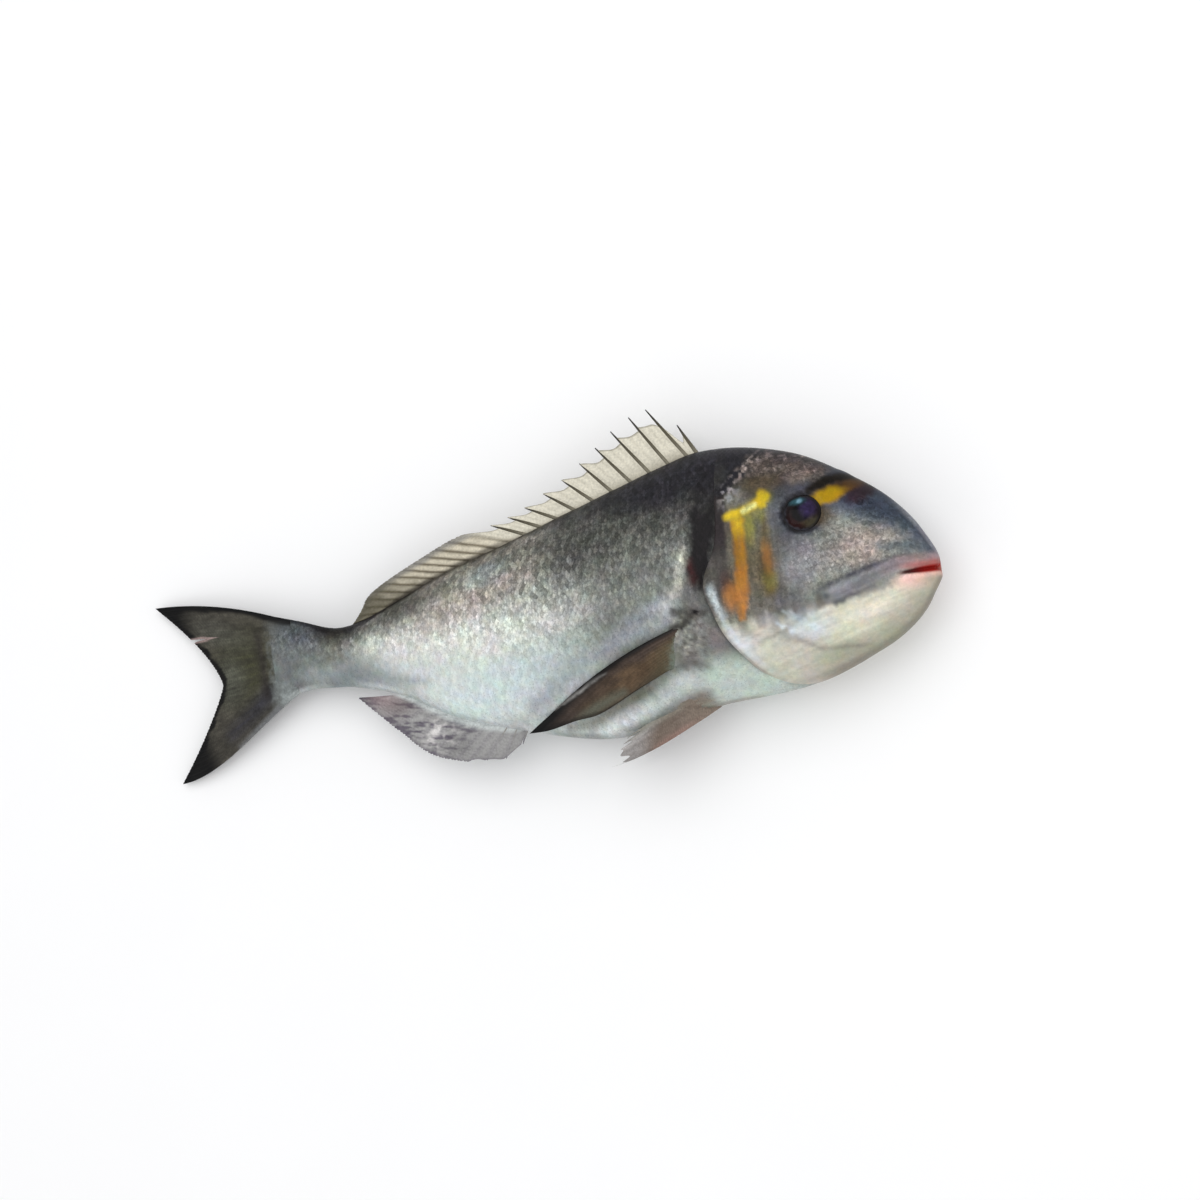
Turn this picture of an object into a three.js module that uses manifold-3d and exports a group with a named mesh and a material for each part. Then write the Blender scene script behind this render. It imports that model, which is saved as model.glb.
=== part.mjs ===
// A whole raw sea bream, lying on its left flank.
// The head points along +X, the back along +Y, and the right flank looks up along +Z.
// Every shape is worked out from a station s, the distance behind the snout, and a height y
// above the line through the snout, in millimetres. The last step moves the origin to the
// middle of the fish's outline, on the surface that it lies on.

import * as THREE from "three";
import { mergeVertices } from "three/addons/utils/BufferGeometryUtils.js";
import Module from "manifold-3d";

const wasm = await Module();
wasm.setup();

// ---------------------------------------------------------------- driving dimensions, mm

const BODY_LENGTH = 276; // snout to the end of the scaled tail stalk
const MID_HEIGHT = 21.2; // the plane of the backbone above the floor, along the trunk
const TAIL_DROOP = 19.0; // how far that plane sinks towards the floor at the tail's tip
const DROOP_START = 155; // station where it begins to sink
const DROOP_LENGTH = 175; // the length over which it does
const DROOP_CURVE = 1.7; // and how late

// Outline of the body without fins, as [station, height] pairs.
const BACK = [
  [0, 1.5], [3, 11.5], [8, 20.5], [18, 32], [32, 42.5], [48, 52], [66, 57.5], [86, 59.3],
  [104, 55.3], [130, 48], [165, 38], [200, 28.5], [230, 18], [245, 15.4], [262, 20.5], [276, 25],
];
const BELLY = [
  [0, -1.5], [3, -8], [8, -15], [18, -23], [32, -29.5], [48, -35], [66, -37.6], [90, -39],
  [115, -43.6], [135, -45.4], [155, -41.5], [180, -34], [200, -26.5], [220, -15.5],
  [240, -9.3], [258, -7.6], [276, -10],
];
// Half the thickness of the body, as [station, half width] pairs.
const HALF_WIDTH = [
  [0, 0.9], [3, 5.4], [8, 8.7], [18, 12.6], [35, 17], [55, 20.6], [80, 22.6], [105, 22.8],
  [135, 21], [165, 17.2], [200, 11.7], [235, 6.8], [258, 4.2], [276, 1.6],
];
// How much of a section is a sharp keel and how much a full ellipse.
const BACK_KEEL = 0.36;
const BELLY_KEEL = 0.1;

// The gill cover: its rear edge as [angle round the flank in degrees, station] pairs.
const GILL_EDGE = [
  [-90, 50], [-56, 69.4], [-42, 75.9], [-30, 81.1], [-18, 84.2], [-5, 86], [12, 79.6], [36, 78], [90, 76],
];
const GILL_STEP = 1.3;
const GILL_RISE = { start: 22, end: 4 }; // how far ahead of its edge the cover rises
const GILL_GROOVE = { depth: 0.6, length: 5 }; // behind the edge
const GILL_TOP_ANGLE = 40; // the slit behind the cover ends here, on the nape
const GILL_LOW_ANGLE = -72; // and here, under the throat
const GILL_END_FADE = 6;

// The ridge of the cheek, as [station, height] corners, and the plate of the upper jaw.
const CHEEK_RIDGE = [[57, 14], [58, -12], [51, -23], [26, -25]];
const CHEEK_GROOVE = { depth: 0.7, width: 2.2 };
const JAW_PLATE = { front: [11, 4.2], rear: [44, -6.6], halfWidth: 3.6, halfThickness: 2.4, sink: 0.5 };

// The mouth is closed: a slit with a lip above and below it.
const MOUTH = { tip: [0, 0.3], corner: [16.9, -0.8], depth: 1.5, halfWidth: 1.3 };
const LIP = { height: 0.8, offset: 2.7, halfWidth: 1.6, fadeStart: 9.6, length: 16 };

const EYE = { station: 46, height: 27.7, radius: 7.2, bulge: 3.2, sink: 1.1 };
const EYE_SOCKET = { radius: 8.8, width: 1.3, height: 0.5 };

// Sections along the body: the head's are close together, and two lie at the gill cover's edge.
const GILL_STATION = 84;
const HEAD_STATIONS = [
  0, 1, 2.4, 4.2, 6.4, 9, 11.8, 14.8, 18, 21.4, 25, 28.8, 32.6, 36.6, 40.6, 44.6, 48.6, 52.4, 55.6, 58,
  61.5, 65.5, 69.5, 73.5, 77.5, 81, GILL_STATION,
];
const SECTION_BEND = 3; // how sharply the sections bend towards the gill cover's edge
const GILL_EDGE_GAP = 0.9; // between the two sections that make the edge's step
const TRUNK_SECTIONS = 27;
const HALF_COLUMNS = 22; // mesh columns from the belly to the back

// Fins. Blades are membranes with rays in them, thicker along the rays.
const MEMBRANE = 0.8;
const RAY = 1.5;
const ROOT_DEPTH = 3; // how deep a fin's root sits in the body
const RAY_HALF = 0.12; // half a ray's width, as a share of the spacing
const TIP_SHARE = 0.6; // a paired fin's thickness at its tip, as a share of that at its root
const MEMBRANE_SHARE = 0.75; // and between its rays, as a share of that on them

const DORSAL = {
  spines: 11,
  softRays: 13,
  // [ray number, station], [ray number, length] and [ray number, angle above the tailward
  // direction in degrees]
  station: [[0, 86.4], [1, 90.4], [2, 98.1], [10, 159.7], [23, 232]],
  length: [
    [0, 14], [1, 24.2], [2, 25.3], [3, 24], [4, 21], [7, 15.4], [11, 17.6], [16, 15], [20, 11.5], [23, 6],
  ],
  lean: [[0, 62], [2, 57], [4, 49.5], [6, 34], [8, 25], [12, 20], [20, 24], [23, 10]],
  aheadOfSpine: 0.72, // where the membrane meets a spine, as a share of the spine's length
  behindSpine: 0.8,
  between: 0.7,
};
const ANAL = {
  first: 170,
  rays: 14,
  spines: 3,
  spacing: 4.77,
  length: [[0, 6], [1, 13.5], [2, 14.5], [3, 17.5], [5, 18], [7, 14.8], [9, 12.5], [13, 9]],
  lean: [[0, 57], [1, 57], [2, 46], [5, 38], [9, 33], [11, 28], [13, 18]],
  betweenSpines: 0.86,
};
const CAUDAL = {
  rays: 17,
  rootStation: 266,
  rootTop: 20.5,
  rootBottom: -7.5,
  tipTop: 38,
  tipBottom: -36.7,
  forkStation: 301.5,
  forkHeight: 1,
  upperReach: 28.5, // how far the lobes reach behind the fork
  lowerReach: 25.3,
  upperCurve: 1.4,
  lowerCurve: 1.25,
  upperBow: 3.4, // the outer rays bow outwards
  lowerBow: 4.6,
};
const PECTORAL = {
  rays: 9,
  rootTop: [96.5, -6.5],
  rootBottom: [101.5, -21],
  // [share across the fin, station] and [share across the fin, height] of the rays' tips
  tipStation: [[0, 165], [0.12, 157], [0.3, 146], [0.5, 135], [0.75, 117], [1, 104]],
  tipHeight: [[0, -38.8], [0.12, -38.8], [0.3, -36.8], [0.5, -35.4], [0.75, -27.8], [1, -22]],
  bow: 3.4,
  keelClearance: 9, // nearer the belly's edge than this the blade runs straight on
  standOff: 2.2, // how far the blade lifts off the flank
  thickness: 1.4,
};
const PELVIC = {
  rays: 6,
  rootTop: [90.5, -31.5],
  rootBottom: [93, -37.5],
  tipStation: [[0, 129], [0.5, 132.3], [0.85, 132], [1, 136.5]],
  tipHeight: [[0, -46.5], [0.5, -50.5], [0.85, -55], [1, -56.2]],
  bow: 1.2,
  keelClearance: 4,
  standOff: 1.6,
  sag: 4,
  thickness: 1.3,
};
const FIN_LIFT_END = 0.4; // share of a paired fin's length over which it lifts off the flank
const FLOOR_CLEARANCE = 0.7; // the lower paired fins' middle surface stays this high
const FLOOR_DEPTH = 20; // of the block that stands for the floor

// ---------------------------------------------------------------- curves

const radians = THREE.MathUtils.degToRad;

// A smooth value through [position, value] pairs: a cubic with slopes from the neighbours.
function smooth(points, at) {
  const last = points.length - 1;
  const place = THREE.MathUtils.clamp(at, points[0][0], points[last][0]);
  let i = 0;
  while (i < last - 1 && place > points[i + 1][0]) i += 1;
  const slope = (k) => {
    const before = points[Math.max(k - 1, 0)];
    const after = points[Math.min(k + 1, last)];
    return (after[1] - before[1]) / (after[0] - before[0]);
  };
  const [start, from] = points[i];
  const [end, to] = points[i + 1];
  const step = end - start;
  const t = (place - start) / step;
  const u = 1 - t;
  const values = (1 + 2 * t) * u * u * from + t * t * (3 - 2 * t) * to;
  const slopes = t * u * u * slope(i) - t * t * u * slope(i + 1);
  return values + step * slopes;
}

// The same over the root of the station, which rounds the snout.
const rooted = (points) => points.map(([s, value]) => [Math.sqrt(s / BODY_LENGTH), value]);
const backPoints = rooted(BACK);
const bellyPoints = rooted(BELLY);
const widthPoints = rooted(HALF_WIDTH);
const rootOf = (s) => Math.sqrt(Math.max(s, 0) / BODY_LENGTH);
const back = (s) => smooth(backPoints, rootOf(s));
const belly = (s) => smooth(bellyPoints, rootOf(s));
const halfWidth = (s) => smooth(widthPoints, rootOf(s));

// Height of the backbone's plane above the floor.
function midHeight(s) {
  const share = Math.max(s - DROOP_START, 0) / DROOP_LENGTH;
  return MID_HEIGHT - TAIL_DROOP * share ** DROOP_CURVE;
}

// Distance from a point to a straight stretch.
function distanceTo(point, start, end) {
  const run = [end[0] - start[0], end[1] - start[1]];
  const offset = [point[0] - start[0], point[1] - start[1]];
  const share = (offset[0] * run[0] + offset[1] * run[1]) / (run[0] ** 2 + run[1] ** 2);
  const t = THREE.MathUtils.clamp(share, 0, 1);
  return Math.hypot(offset[0] - t * run[0], offset[1] - t * run[1]);
}

const evenly = (count) => Array.from({ length: count + 1 }, (_, i) => i / count);
const bell = (distance, width) => Math.exp(-((distance / width) ** 2));

// ---------------------------------------------------------------- the body

const gillEdge = (angle) => smooth(GILL_EDGE, angle);

// How far the skin stands out from the plain body at a station, a height and an angle.
function relief(s, y, angle) {
  const edge = gillEdge(angle);
  const fadeAt = (end) => THREE.MathUtils.smoothstep(angle, end - GILL_END_FADE, end + GILL_END_FADE);
  const covered = fadeAt(GILL_LOW_ANGLE) * (1 - fadeAt(GILL_TOP_ANGLE));
  const rise = THREE.MathUtils.smoothstep(s, edge - GILL_RISE.start, edge - GILL_RISE.end);
  const groove = GILL_GROOVE.depth * Math.exp((edge - s) / GILL_GROOVE.length);
  const gill = covered * (s <= edge ? GILL_STEP * rise : -groove);

  let cheekDistance = Infinity;
  for (let i = 1; i < CHEEK_RIDGE.length; i += 1) {
    cheekDistance = Math.min(cheekDistance, distanceTo([s, y], CHEEK_RIDGE[i - 1], CHEEK_RIDGE[i]));
  }
  const cheek = -CHEEK_GROOVE.depth * bell(cheekDistance, CHEEK_GROOVE.width);

  const mouthDistance = distanceTo([s, y], MOUTH.tip, MOUTH.corner);
  const slit = -MOUTH.depth * bell(mouthDistance, MOUTH.halfWidth);
  const lipFade = 1 - THREE.MathUtils.smoothstep(s, LIP.fadeStart, LIP.length);
  const lips = LIP.height * lipFade * bell(mouthDistance - LIP.offset, LIP.halfWidth);

  const eyeDistance = Math.hypot(s - EYE.station, y - EYE.height);
  const socket = EYE_SOCKET.height * bell(eyeDistance - EYE_SOCKET.radius, EYE_SOCKET.width);
  return gill + cheek + slit + lips + socket;
}

// A point of the skin. The angle runs from -90 at the belly to 90 at the back, and side is
// 1 for the right flank and -1 for the left one.
function skin(s, angle, side) {
  const top = back(s);
  const bottom = belly(s);
  const half = (top - bottom) / 2;
  const width = halfWidth(s);
  const up = Math.sin(radians(angle));
  const out = Math.cos(radians(angle));
  const keel = angle > 0 ? BACK_KEEL : BELLY_KEEL;
  const y = (top + bottom) / 2 + half * up;
  const z = width * ((1 - keel) * out + keel * out * out);
  const normal = new THREE.Vector2(width * up, half * out).normalize();
  const height = relief(s, y, angle);
  return new THREE.Vector3(-s, y + normal.x * height, midHeight(s) + side * (z + normal.y * height));
}

// Height of one flank's skin above the floor at a station and a height y.
function flankHeight(s, y, side) {
  const top = back(s);
  const bottom = belly(s);
  const share = THREE.MathUtils.clamp((2 * y - top - bottom) / (top - bottom), -1, 1);
  return skin(s, THREE.MathUtils.radToDeg(Math.asin(share)), side).z;
}

// Sections bend with the angle so that the head's last one follows the gill cover's edge.
function headStation(station, angle) {
  const bend = (gillEdge(angle) / GILL_STATION - 1) * (station / GILL_STATION) ** SECTION_BEND;
  return station * (1 + bend);
}

function trunkStation(share, angle) {
  return THREE.MathUtils.lerp(gillEdge(angle) + GILL_EDGE_GAP, BODY_LENGTH, share);
}

function bodyGeometry() {
  const sections = [
    ...HEAD_STATIONS.map((station) => (angle) => headStation(station, angle)),
    ...evenly(TRUNK_SECTIONS).map((share) => (angle) => trunkStation(share, angle)),
  ];
  const columns = 2 * HALF_COLUMNS;
  const positions = [];
  for (const stationAt of sections) {
    for (let j = 0; j < columns; j += 1) {
      const side = j <= HALF_COLUMNS ? 1 : -1;
      const steps = side > 0 ? j : columns - j;
      const angle = -90 + (180 * steps) / HALF_COLUMNS;
      positions.push(...skin(stationAt(angle), angle, side).toArray());
    }
  }
  const faces = [];
  for (let i = 0; i < sections.length - 1; i += 1) {
    for (let j = 0; j < columns; j += 1) {
      const next = (j + 1) % columns;
      const [a, b] = [i * columns + j, i * columns + next];
      const [c, d] = [a + columns, b + columns];
      faces.push(a, c, b, b, c, d);
    }
  }
  // A flat fan closes the snout, and another the end of the tail stalk.
  const lastRing = (sections.length - 1) * columns;
  for (let j = 1; j < columns - 1; j += 1) {
    faces.push(0, j, j + 1);
    faces.push(lastRing, lastRing + j + 1, lastRing + j);
  }
  return indexedGeometry(positions, faces);
}

// ---------------------------------------------------------------- blades

function indexedGeometry(positions, faces) {
  const geometry = new THREE.BufferGeometry();
  geometry.setAttribute("position", new THREE.Float32BufferAttribute(positions, 3));
  geometry.setIndex(faces);
  return geometry;
}

// A closed blade. place(u, v) is its middle surface, thickness(u, v) its thickness along Z.
function blade(columns, rows, place, thickness) {
  const positions = [];
  for (const side of [1, -1]) {
    for (const u of columns) {
      for (const v of rows) {
        const point = place(u, v);
        positions.push(point.x, point.y, point.z + (side * thickness(u, v)) / 2);
      }
    }
  }
  const rowCount = rows.length;
  const sheet = columns.length * rowCount;
  const faces = [];
  for (let i = 0; i < columns.length - 1; i += 1) {
    for (let j = 0; j < rowCount - 1; j += 1) {
      const [a, b] = [i * rowCount + j, i * rowCount + j + 1];
      const [c, d] = [a + rowCount, b + rowCount];
      faces.push(a, c, b, b, c, d);
      faces.push(sheet + a, sheet + b, sheet + c, sheet + b, sheet + d, sheet + c);
    }
  }
  const rim = [];
  for (let j = 0; j < rowCount; j += 1) rim.push(j);
  for (let i = 1; i < columns.length; i += 1) rim.push(i * rowCount + rowCount - 1);
  for (let j = rowCount - 2; j >= 0; j -= 1) rim.push((columns.length - 1) * rowCount + j);
  for (let i = columns.length - 2; i > 0; i -= 1) rim.push(i * rowCount);
  rim.forEach((a, index) => {
    const b = rim[(index + 1) % rim.length];
    faces.push(a, b, sheet + a, b, sheet + b, sheet + a);
  });
  return indexedGeometry(positions, faces);
}

// A fin's columns count its rays: a ray at each whole number, and membrane between them.
const onRay = (u) => Math.abs(u - Math.round(u)) < RAY_HALF / 2;
const rayThickness = (u, v) => (onRay(u) ? THREE.MathUtils.lerp(RAY, MEMBRANE, v) : MEMBRANE);

function rayColumns(first, last, withSides) {
  const columns = [];
  for (let i = first; i <= last; i += 1) {
    if (withSides && i > first) columns.push(i - RAY_HALF);
    columns.push(i);
    if (withSides && i < last) columns.push(i + RAY_HALF);
    if (i < last) columns.push(i + 0.5);
  }
  return columns;
}

// How much of a spine's length the membrane reaches at u: the spines' points stand free.
function dorsalReach(u) {
  if (u >= DORSAL.spines || onRay(u)) return 1;
  const between = u - Math.floor(u);
  return smooth([[0, DORSAL.behindSpine], [0.5, DORSAL.between], [1, DORSAL.aheadOfSpine]], between);
}

function dorsalGeometry() {
  const lastRay = DORSAL.spines + DORSAL.softRays - 1;
  const spined = rayColumns(0, DORSAL.spines, true);
  const soft = rayColumns(DORSAL.spines, lastRay, false);
  const columns = [...spined, ...soft.slice(1)];
  const place = (u, v) => {
    const s = smooth(DORSAL.station, u);
    const lean = radians(smooth(DORSAL.lean, u));
    const reach = smooth(DORSAL.length, u) * dorsalReach(u);
    const along = THREE.MathUtils.lerp(-ROOT_DEPTH, reach, v);
    const station = s + along * Math.cos(lean);
    return new THREE.Vector3(-station, back(s) + along * Math.sin(lean), midHeight(station));
  };
  return blade(columns, [0, 0.5, 1], place, rayThickness);
}

function analGeometry() {
  const columns = rayColumns(0, ANAL.rays - 1, false);
  const place = (u, v) => {
    const s = ANAL.first + u * ANAL.spacing;
    const lean = radians(smooth(ANAL.lean, u));
    const spined = u < ANAL.spines - 1 && !onRay(u);
    const reach = smooth(ANAL.length, u) * (spined ? ANAL.betweenSpines : 1);
    const along = THREE.MathUtils.lerp(-ROOT_DEPTH, reach, v);
    const station = s + along * Math.cos(lean);
    return new THREE.Vector3(-station, belly(s) - along * Math.sin(lean), midHeight(station));
  };
  return blade(columns, [0, 0.5, 1], place, rayThickness);
}

function caudalGeometry() {
  const columns = rayColumns(0, CAUDAL.rays - 1, false);
  const place = (u, v) => {
    const across = u / (CAUDAL.rays - 1);
    const rootY = THREE.MathUtils.lerp(CAUDAL.rootTop, CAUDAL.rootBottom, across);
    const tipY = THREE.MathUtils.lerp(CAUDAL.tipTop, CAUDAL.tipBottom, across);
    const upper = tipY > CAUDAL.forkHeight;
    const lobe = upper ? CAUDAL.tipTop - CAUDAL.forkHeight : CAUDAL.forkHeight - CAUDAL.tipBottom;
    const fromFork = Math.abs(tipY - CAUDAL.forkHeight) / lobe;
    const reach = upper
      ? CAUDAL.upperReach * fromFork ** CAUDAL.upperCurve
      : CAUDAL.lowerReach * fromFork ** CAUDAL.lowerCurve;
    const station = THREE.MathUtils.lerp(CAUDAL.rootStation, CAUDAL.forkStation + reach, v);
    const bow = THREE.MathUtils.lerp(CAUDAL.upperBow, -CAUDAL.lowerBow, across);
    const y = THREE.MathUtils.lerp(rootY, tipY, v) + bow * 4 * v * (1 - v);
    return new THREE.Vector3(-station, y, midHeight(station));
  };
  return blade(columns, evenly(5), place, rayThickness);
}

// A paired fin lies back along its flank. It follows the skin down to a little above the
// belly's edge and runs straight on from there.
function pairedFinGeometry(fin, side, sag) {
  const lastRay = fin.rays - 1;
  const place = (u, v) => {
    const across = u / lastRay;
    const rootS = THREE.MathUtils.lerp(fin.rootTop[0], fin.rootBottom[0], across);
    const rootY = THREE.MathUtils.lerp(fin.rootTop[1], fin.rootBottom[1], across);
    const s = THREE.MathUtils.lerp(rootS, smooth(fin.tipStation, across), v);
    const bow = fin.bow * 4 * v * (1 - v) * (1 - across);
    const y = THREE.MathUtils.lerp(rootY, smooth(fin.tipHeight, across), v) + bow;
    const skinZ = flankHeight(s, Math.max(y, belly(s) + fin.keelClearance), side);
    const lift = fin.standOff * THREE.MathUtils.smoothstep(v, 0, FIN_LIFT_END);
    const z = skinZ + side * lift - sag * v * v;
    return new THREE.Vector3(-s, y, Math.max(z, FLOOR_CLEARANCE));
  };
  const thickness = (u, v) => {
    const tapered = fin.thickness * THREE.MathUtils.lerp(1, TIP_SHARE, v);
    return onRay(u) ? tapered : tapered * MEMBRANE_SHARE;
  };
  return blade(rayColumns(0, lastRay, false), evenly(6), place, thickness);
}

function eyeGeometry(side) {
  const eye = new THREE.SphereGeometry(EYE.radius, 18, 8);
  eye.rotateX(Math.PI / 2);
  eye.scale(1, 1, EYE.bulge / EYE.radius);
  const z = flankHeight(EYE.station, EYE.height, side) - side * EYE.sink;
  return eye.translate(-EYE.station, EYE.height, z);
}

// The upper jaw's plate: a long flattened ball laid on the skin from near the lip to the cheek.
function jawGeometry(side) {
  const [front, rear] = [JAW_PLATE.front, JAW_PLATE.rear].map(
    ([s, y]) => new THREE.Vector3(-s, y, flankHeight(s, y, side) - side * JAW_PLATE.sink),
  );
  const run = new THREE.Vector3().subVectors(rear, front);
  const across = new THREE.Vector3(0, 0, 1).cross(run).normalize();
  const out = new THREE.Vector3().crossVectors(run, across).normalize();
  const frame = new THREE.Matrix4().makeBasis(run.clone().normalize(), across, out);
  frame.setPosition(new THREE.Vector3().addVectors(front, rear).multiplyScalar(0.5));
  const plate = new THREE.SphereGeometry(1, 14, 8);
  plate.scale(run.length() / 2, JAW_PLATE.halfWidth, JAW_PLATE.halfThickness);
  return plate.applyMatrix4(frame);
}

// ---------------------------------------------------------------- joining

// Six times the volume inside a mesh, negative when its faces point inwards.
function signedVolume(vertices, triangles) {
  const corner = (i) => new THREE.Vector3().fromArray(vertices, 3 * triangles[i]);
  let sum = 0;
  for (let i = 0; i < triangles.length; i += 3) {
    sum += corner(i).dot(corner(i + 1).cross(corner(i + 2)));
  }
  return sum;
}

function toSolid(geometry) {
  const bare = geometry.clone();
  bare.deleteAttribute("normal");
  bare.deleteAttribute("uv");
  const merged = mergeVertices(bare, 1e-4);
  const vertProperties = new Float32Array(merged.attributes.position.array);
  const triVerts = new Uint32Array(merged.index.array);
  if (signedVolume(vertProperties, triVerts) < 0) triVerts.reverse();
  return new wasm.Manifold(new wasm.Mesh({ numProp: 3, vertProperties, triVerts }));
}

function toGeometry(solid) {
  const mesh = solid.getMesh();
  return indexedGeometry(Array.from(mesh.vertProperties), Array.from(mesh.triVerts));
}

const pieces = [
  dorsalGeometry(),
  analGeometry(),
  caudalGeometry(),
  ...[1, -1].flatMap((side) => [
    pairedFinGeometry(PECTORAL, side, 0),
    pairedFinGeometry(PELVIC, side, PELVIC.sag),
    eyeGeometry(side),
    jawGeometry(side),
  ]),
];
let fish = toSolid(bodyGeometry());
for (const piece of pieces) fish = fish.add(toSolid(piece));

// Its own weight presses the lower flank flat: what would lie below the floor is cut away.
const floorBlock = new THREE.BoxGeometry(2 * BODY_LENGTH, BODY_LENGTH, FLOOR_DEPTH);
floorBlock.translate(-BODY_LENGTH / 2, 0, -FLOOR_DEPTH / 2);
fish = fish.subtract(toSolid(floorBlock));

// Pockets sealed between a fin and the flank are filled: only the outermost shell is kept.
const shells = fish.decompose();
fish = shells.reduce((largest, shell) => (shell.volume() > largest.volume() ? shell : largest));

const geometry = toGeometry(fish);
geometry.computeBoundingBox();
const centre = geometry.boundingBox.getCenter(new THREE.Vector3());
geometry.translate(-centre.x, -centre.y, 0);
geometry.computeVertexNormals();

const skinMaterial = new THREE.MeshStandardMaterial({ color: 0x8d918e, roughness: 0.35, metalness: 0.1 });
const fishMesh = new THREE.Mesh(geometry, skinMaterial);
fishMesh.name = "fish";

const group = new THREE.Group();
group.add(fishMesh);

export default group;
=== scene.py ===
"""Looks of a whole raw sea bream that lies on its left flank.

Shapes are worked out in millimetres from a station s, the distance behind the snout, and a
height y above the line through the snout. Colours are painted on the meshes by formulas of
the same two measures, and the materials add scales, speckle and a wet coat.
"""

import math

import bpy
import numpy as np
from mathutils import Matrix, Vector


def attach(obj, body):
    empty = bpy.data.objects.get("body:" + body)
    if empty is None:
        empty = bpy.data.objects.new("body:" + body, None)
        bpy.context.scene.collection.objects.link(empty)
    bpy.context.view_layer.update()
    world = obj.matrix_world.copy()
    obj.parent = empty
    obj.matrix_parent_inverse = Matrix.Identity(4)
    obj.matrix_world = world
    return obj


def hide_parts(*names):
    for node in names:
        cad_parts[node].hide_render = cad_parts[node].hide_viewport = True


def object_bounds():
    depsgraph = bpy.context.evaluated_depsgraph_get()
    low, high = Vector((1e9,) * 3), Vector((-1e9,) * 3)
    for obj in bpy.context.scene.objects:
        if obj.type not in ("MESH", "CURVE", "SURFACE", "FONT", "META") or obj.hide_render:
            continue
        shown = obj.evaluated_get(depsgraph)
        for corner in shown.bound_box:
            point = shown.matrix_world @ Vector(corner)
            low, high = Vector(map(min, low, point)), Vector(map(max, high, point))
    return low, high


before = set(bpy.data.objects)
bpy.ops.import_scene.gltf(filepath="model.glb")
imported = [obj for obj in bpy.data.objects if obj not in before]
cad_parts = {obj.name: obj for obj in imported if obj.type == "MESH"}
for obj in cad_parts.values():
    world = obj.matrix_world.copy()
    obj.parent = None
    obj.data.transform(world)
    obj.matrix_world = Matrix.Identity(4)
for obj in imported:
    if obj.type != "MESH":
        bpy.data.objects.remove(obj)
cad_low, cad_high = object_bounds()

MM = 0.001

# ---------------------------------------------------------------- the fish's sizes, mm

BODY_LENGTH = 276.0
# How high the body's middle lies above the floor, and how it droops towards the tail.
MID_HEIGHT = 21.2
TAIL_DROOP = 19.0
DROOP_START = 155.0
DROOP_LENGTH = 175.0
DROOP_CURVE = 1.7
# Height of the middle of the whole outline, with its fins.
OUTLINE_MIDDLE = 11.72

# Back line, belly line and half thickness, as (station, value) points.
BACK = [
    (0, 1.5), (3, 11.5), (8, 20.5), (18, 32), (32, 42.5), (48, 52), (66, 57.5), (86, 59.3),
    (104, 55.3), (130, 48), (165, 38), (200, 28.5), (230, 18), (245, 16.0), (262, 21.5), (276, 26.1),
]
BELLY = [
    (0, -1.5), (3, -8), (8, -15), (18, -23), (32, -29.5), (48, -35), (66, -37.6), (90, -39),
    (115, -43.6), (135, -45.4), (155, -41.5), (180, -34), (200, -26.5), (220, -15.5),
    (240, -9.2), (250, -7.9), (259, -7.2), (268, -8.4), (276, -11.6),
]
HALF_WIDTH = [
    (0, 0.9), (3, 5.4), (8, 8.7), (18, 12.6), (35, 17), (55, 20.6), (80, 22.6), (105, 22.8),
    (135, 21), (165, 17.2), (200, 11.7), (235, 6.8), (258, 4.2), (276, 1.6),
]
# How much sharper than an ellipse a section is, along the back and along the belly.
BACK_KEEL = 0.36
BELLY_KEEL = 0.1

# Station of the gill cover's edge by the angle round the flank, from -90 on the keel to 90 on
# the back, and about where it lies all the way round.
GILL_EDGE = [
    (-90, 50), (-56, 69.4), (-42, 75.9), (-30, 81.1), (-18, 84.2), (-5, 86), (12, 79.6), (36, 78), (90, 76),
]
GILL_STATION = 84.0
# How far the cover stands out, and the angles between which the slit behind it is open.
GILL_STEP = 1.3
GILL_TOP_ANGLE = 40.0
GILL_LOW_ANGLE = -56.0
GILL_END_FADE = 8.0
# The rings that fold under the gill cover's edge, in order: where each would lie behind the
# edge with no slit, where it lies with one, and how far out of the body it stands there.
GILL_FOLD = [
    (0.25, 0.25, 1.05), (0.5, 0.3, 0.45), (0.75, -0.6, 0.1), (1, -1.8, -0.5), (1.25, -1.2, -0.95),
]
# The hollow behind the slit: its depth, and how far back it reaches.
SLIT_DEPTH = 0.9
SLIT_LENGTH = 4.5

# Lines and places on the head as (station, height): the ridge round the cheek, the upper jaw
# with its half widths, the ends of the mouth's slit, the eye and the nostrils with their radii.
CHEEK_RIDGE = [(57, 14), (58.5, -10), (55, -19), (47, -24), (26, -25)]
JAW = [(1.5, 3.2), (15, 3.2), (28, -0.6), (41, -5.0)]
JAW_HALVES = [2.2, 2.7, 3.2, 3.7]
MOUTH_TIP, MOUTH_CORNER = (-1.0, 0.0), (16.0, -0.7)
MOUTH_NOTCH = 1.7
EYE = (46.2, 27.2)
NOSTRILS = [((25.5, 28.6), 1.4), ((21.8, 27.8), 0.8)]
# The eye's ball: its radius, the height of its dome, and how deep it is set.
EYE_RADIUS = 6.9
EYE_BULGE = 2.7
EYE_SINK = 0.9
# The line of pores along the flank, as (station, height) points.
LATERAL_LINE = [(76, 36), (90, 34), (120, 31), (150, 24), (200, 13.5), (240, 5.5), (276, 7.5)]

# The largest scales: length, height, how far the rear edge stands out, and how far it bows
# back, in scale lengths. The number of the row at the lateral line keeps all rows above 0.
SCALE_LENGTH = 2.3
SCALE_HEIGHT = 1.9
SCALE_RISE = 0.07
SCALE_ARC = 0.62
LINE_ROW = 400.5

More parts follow.
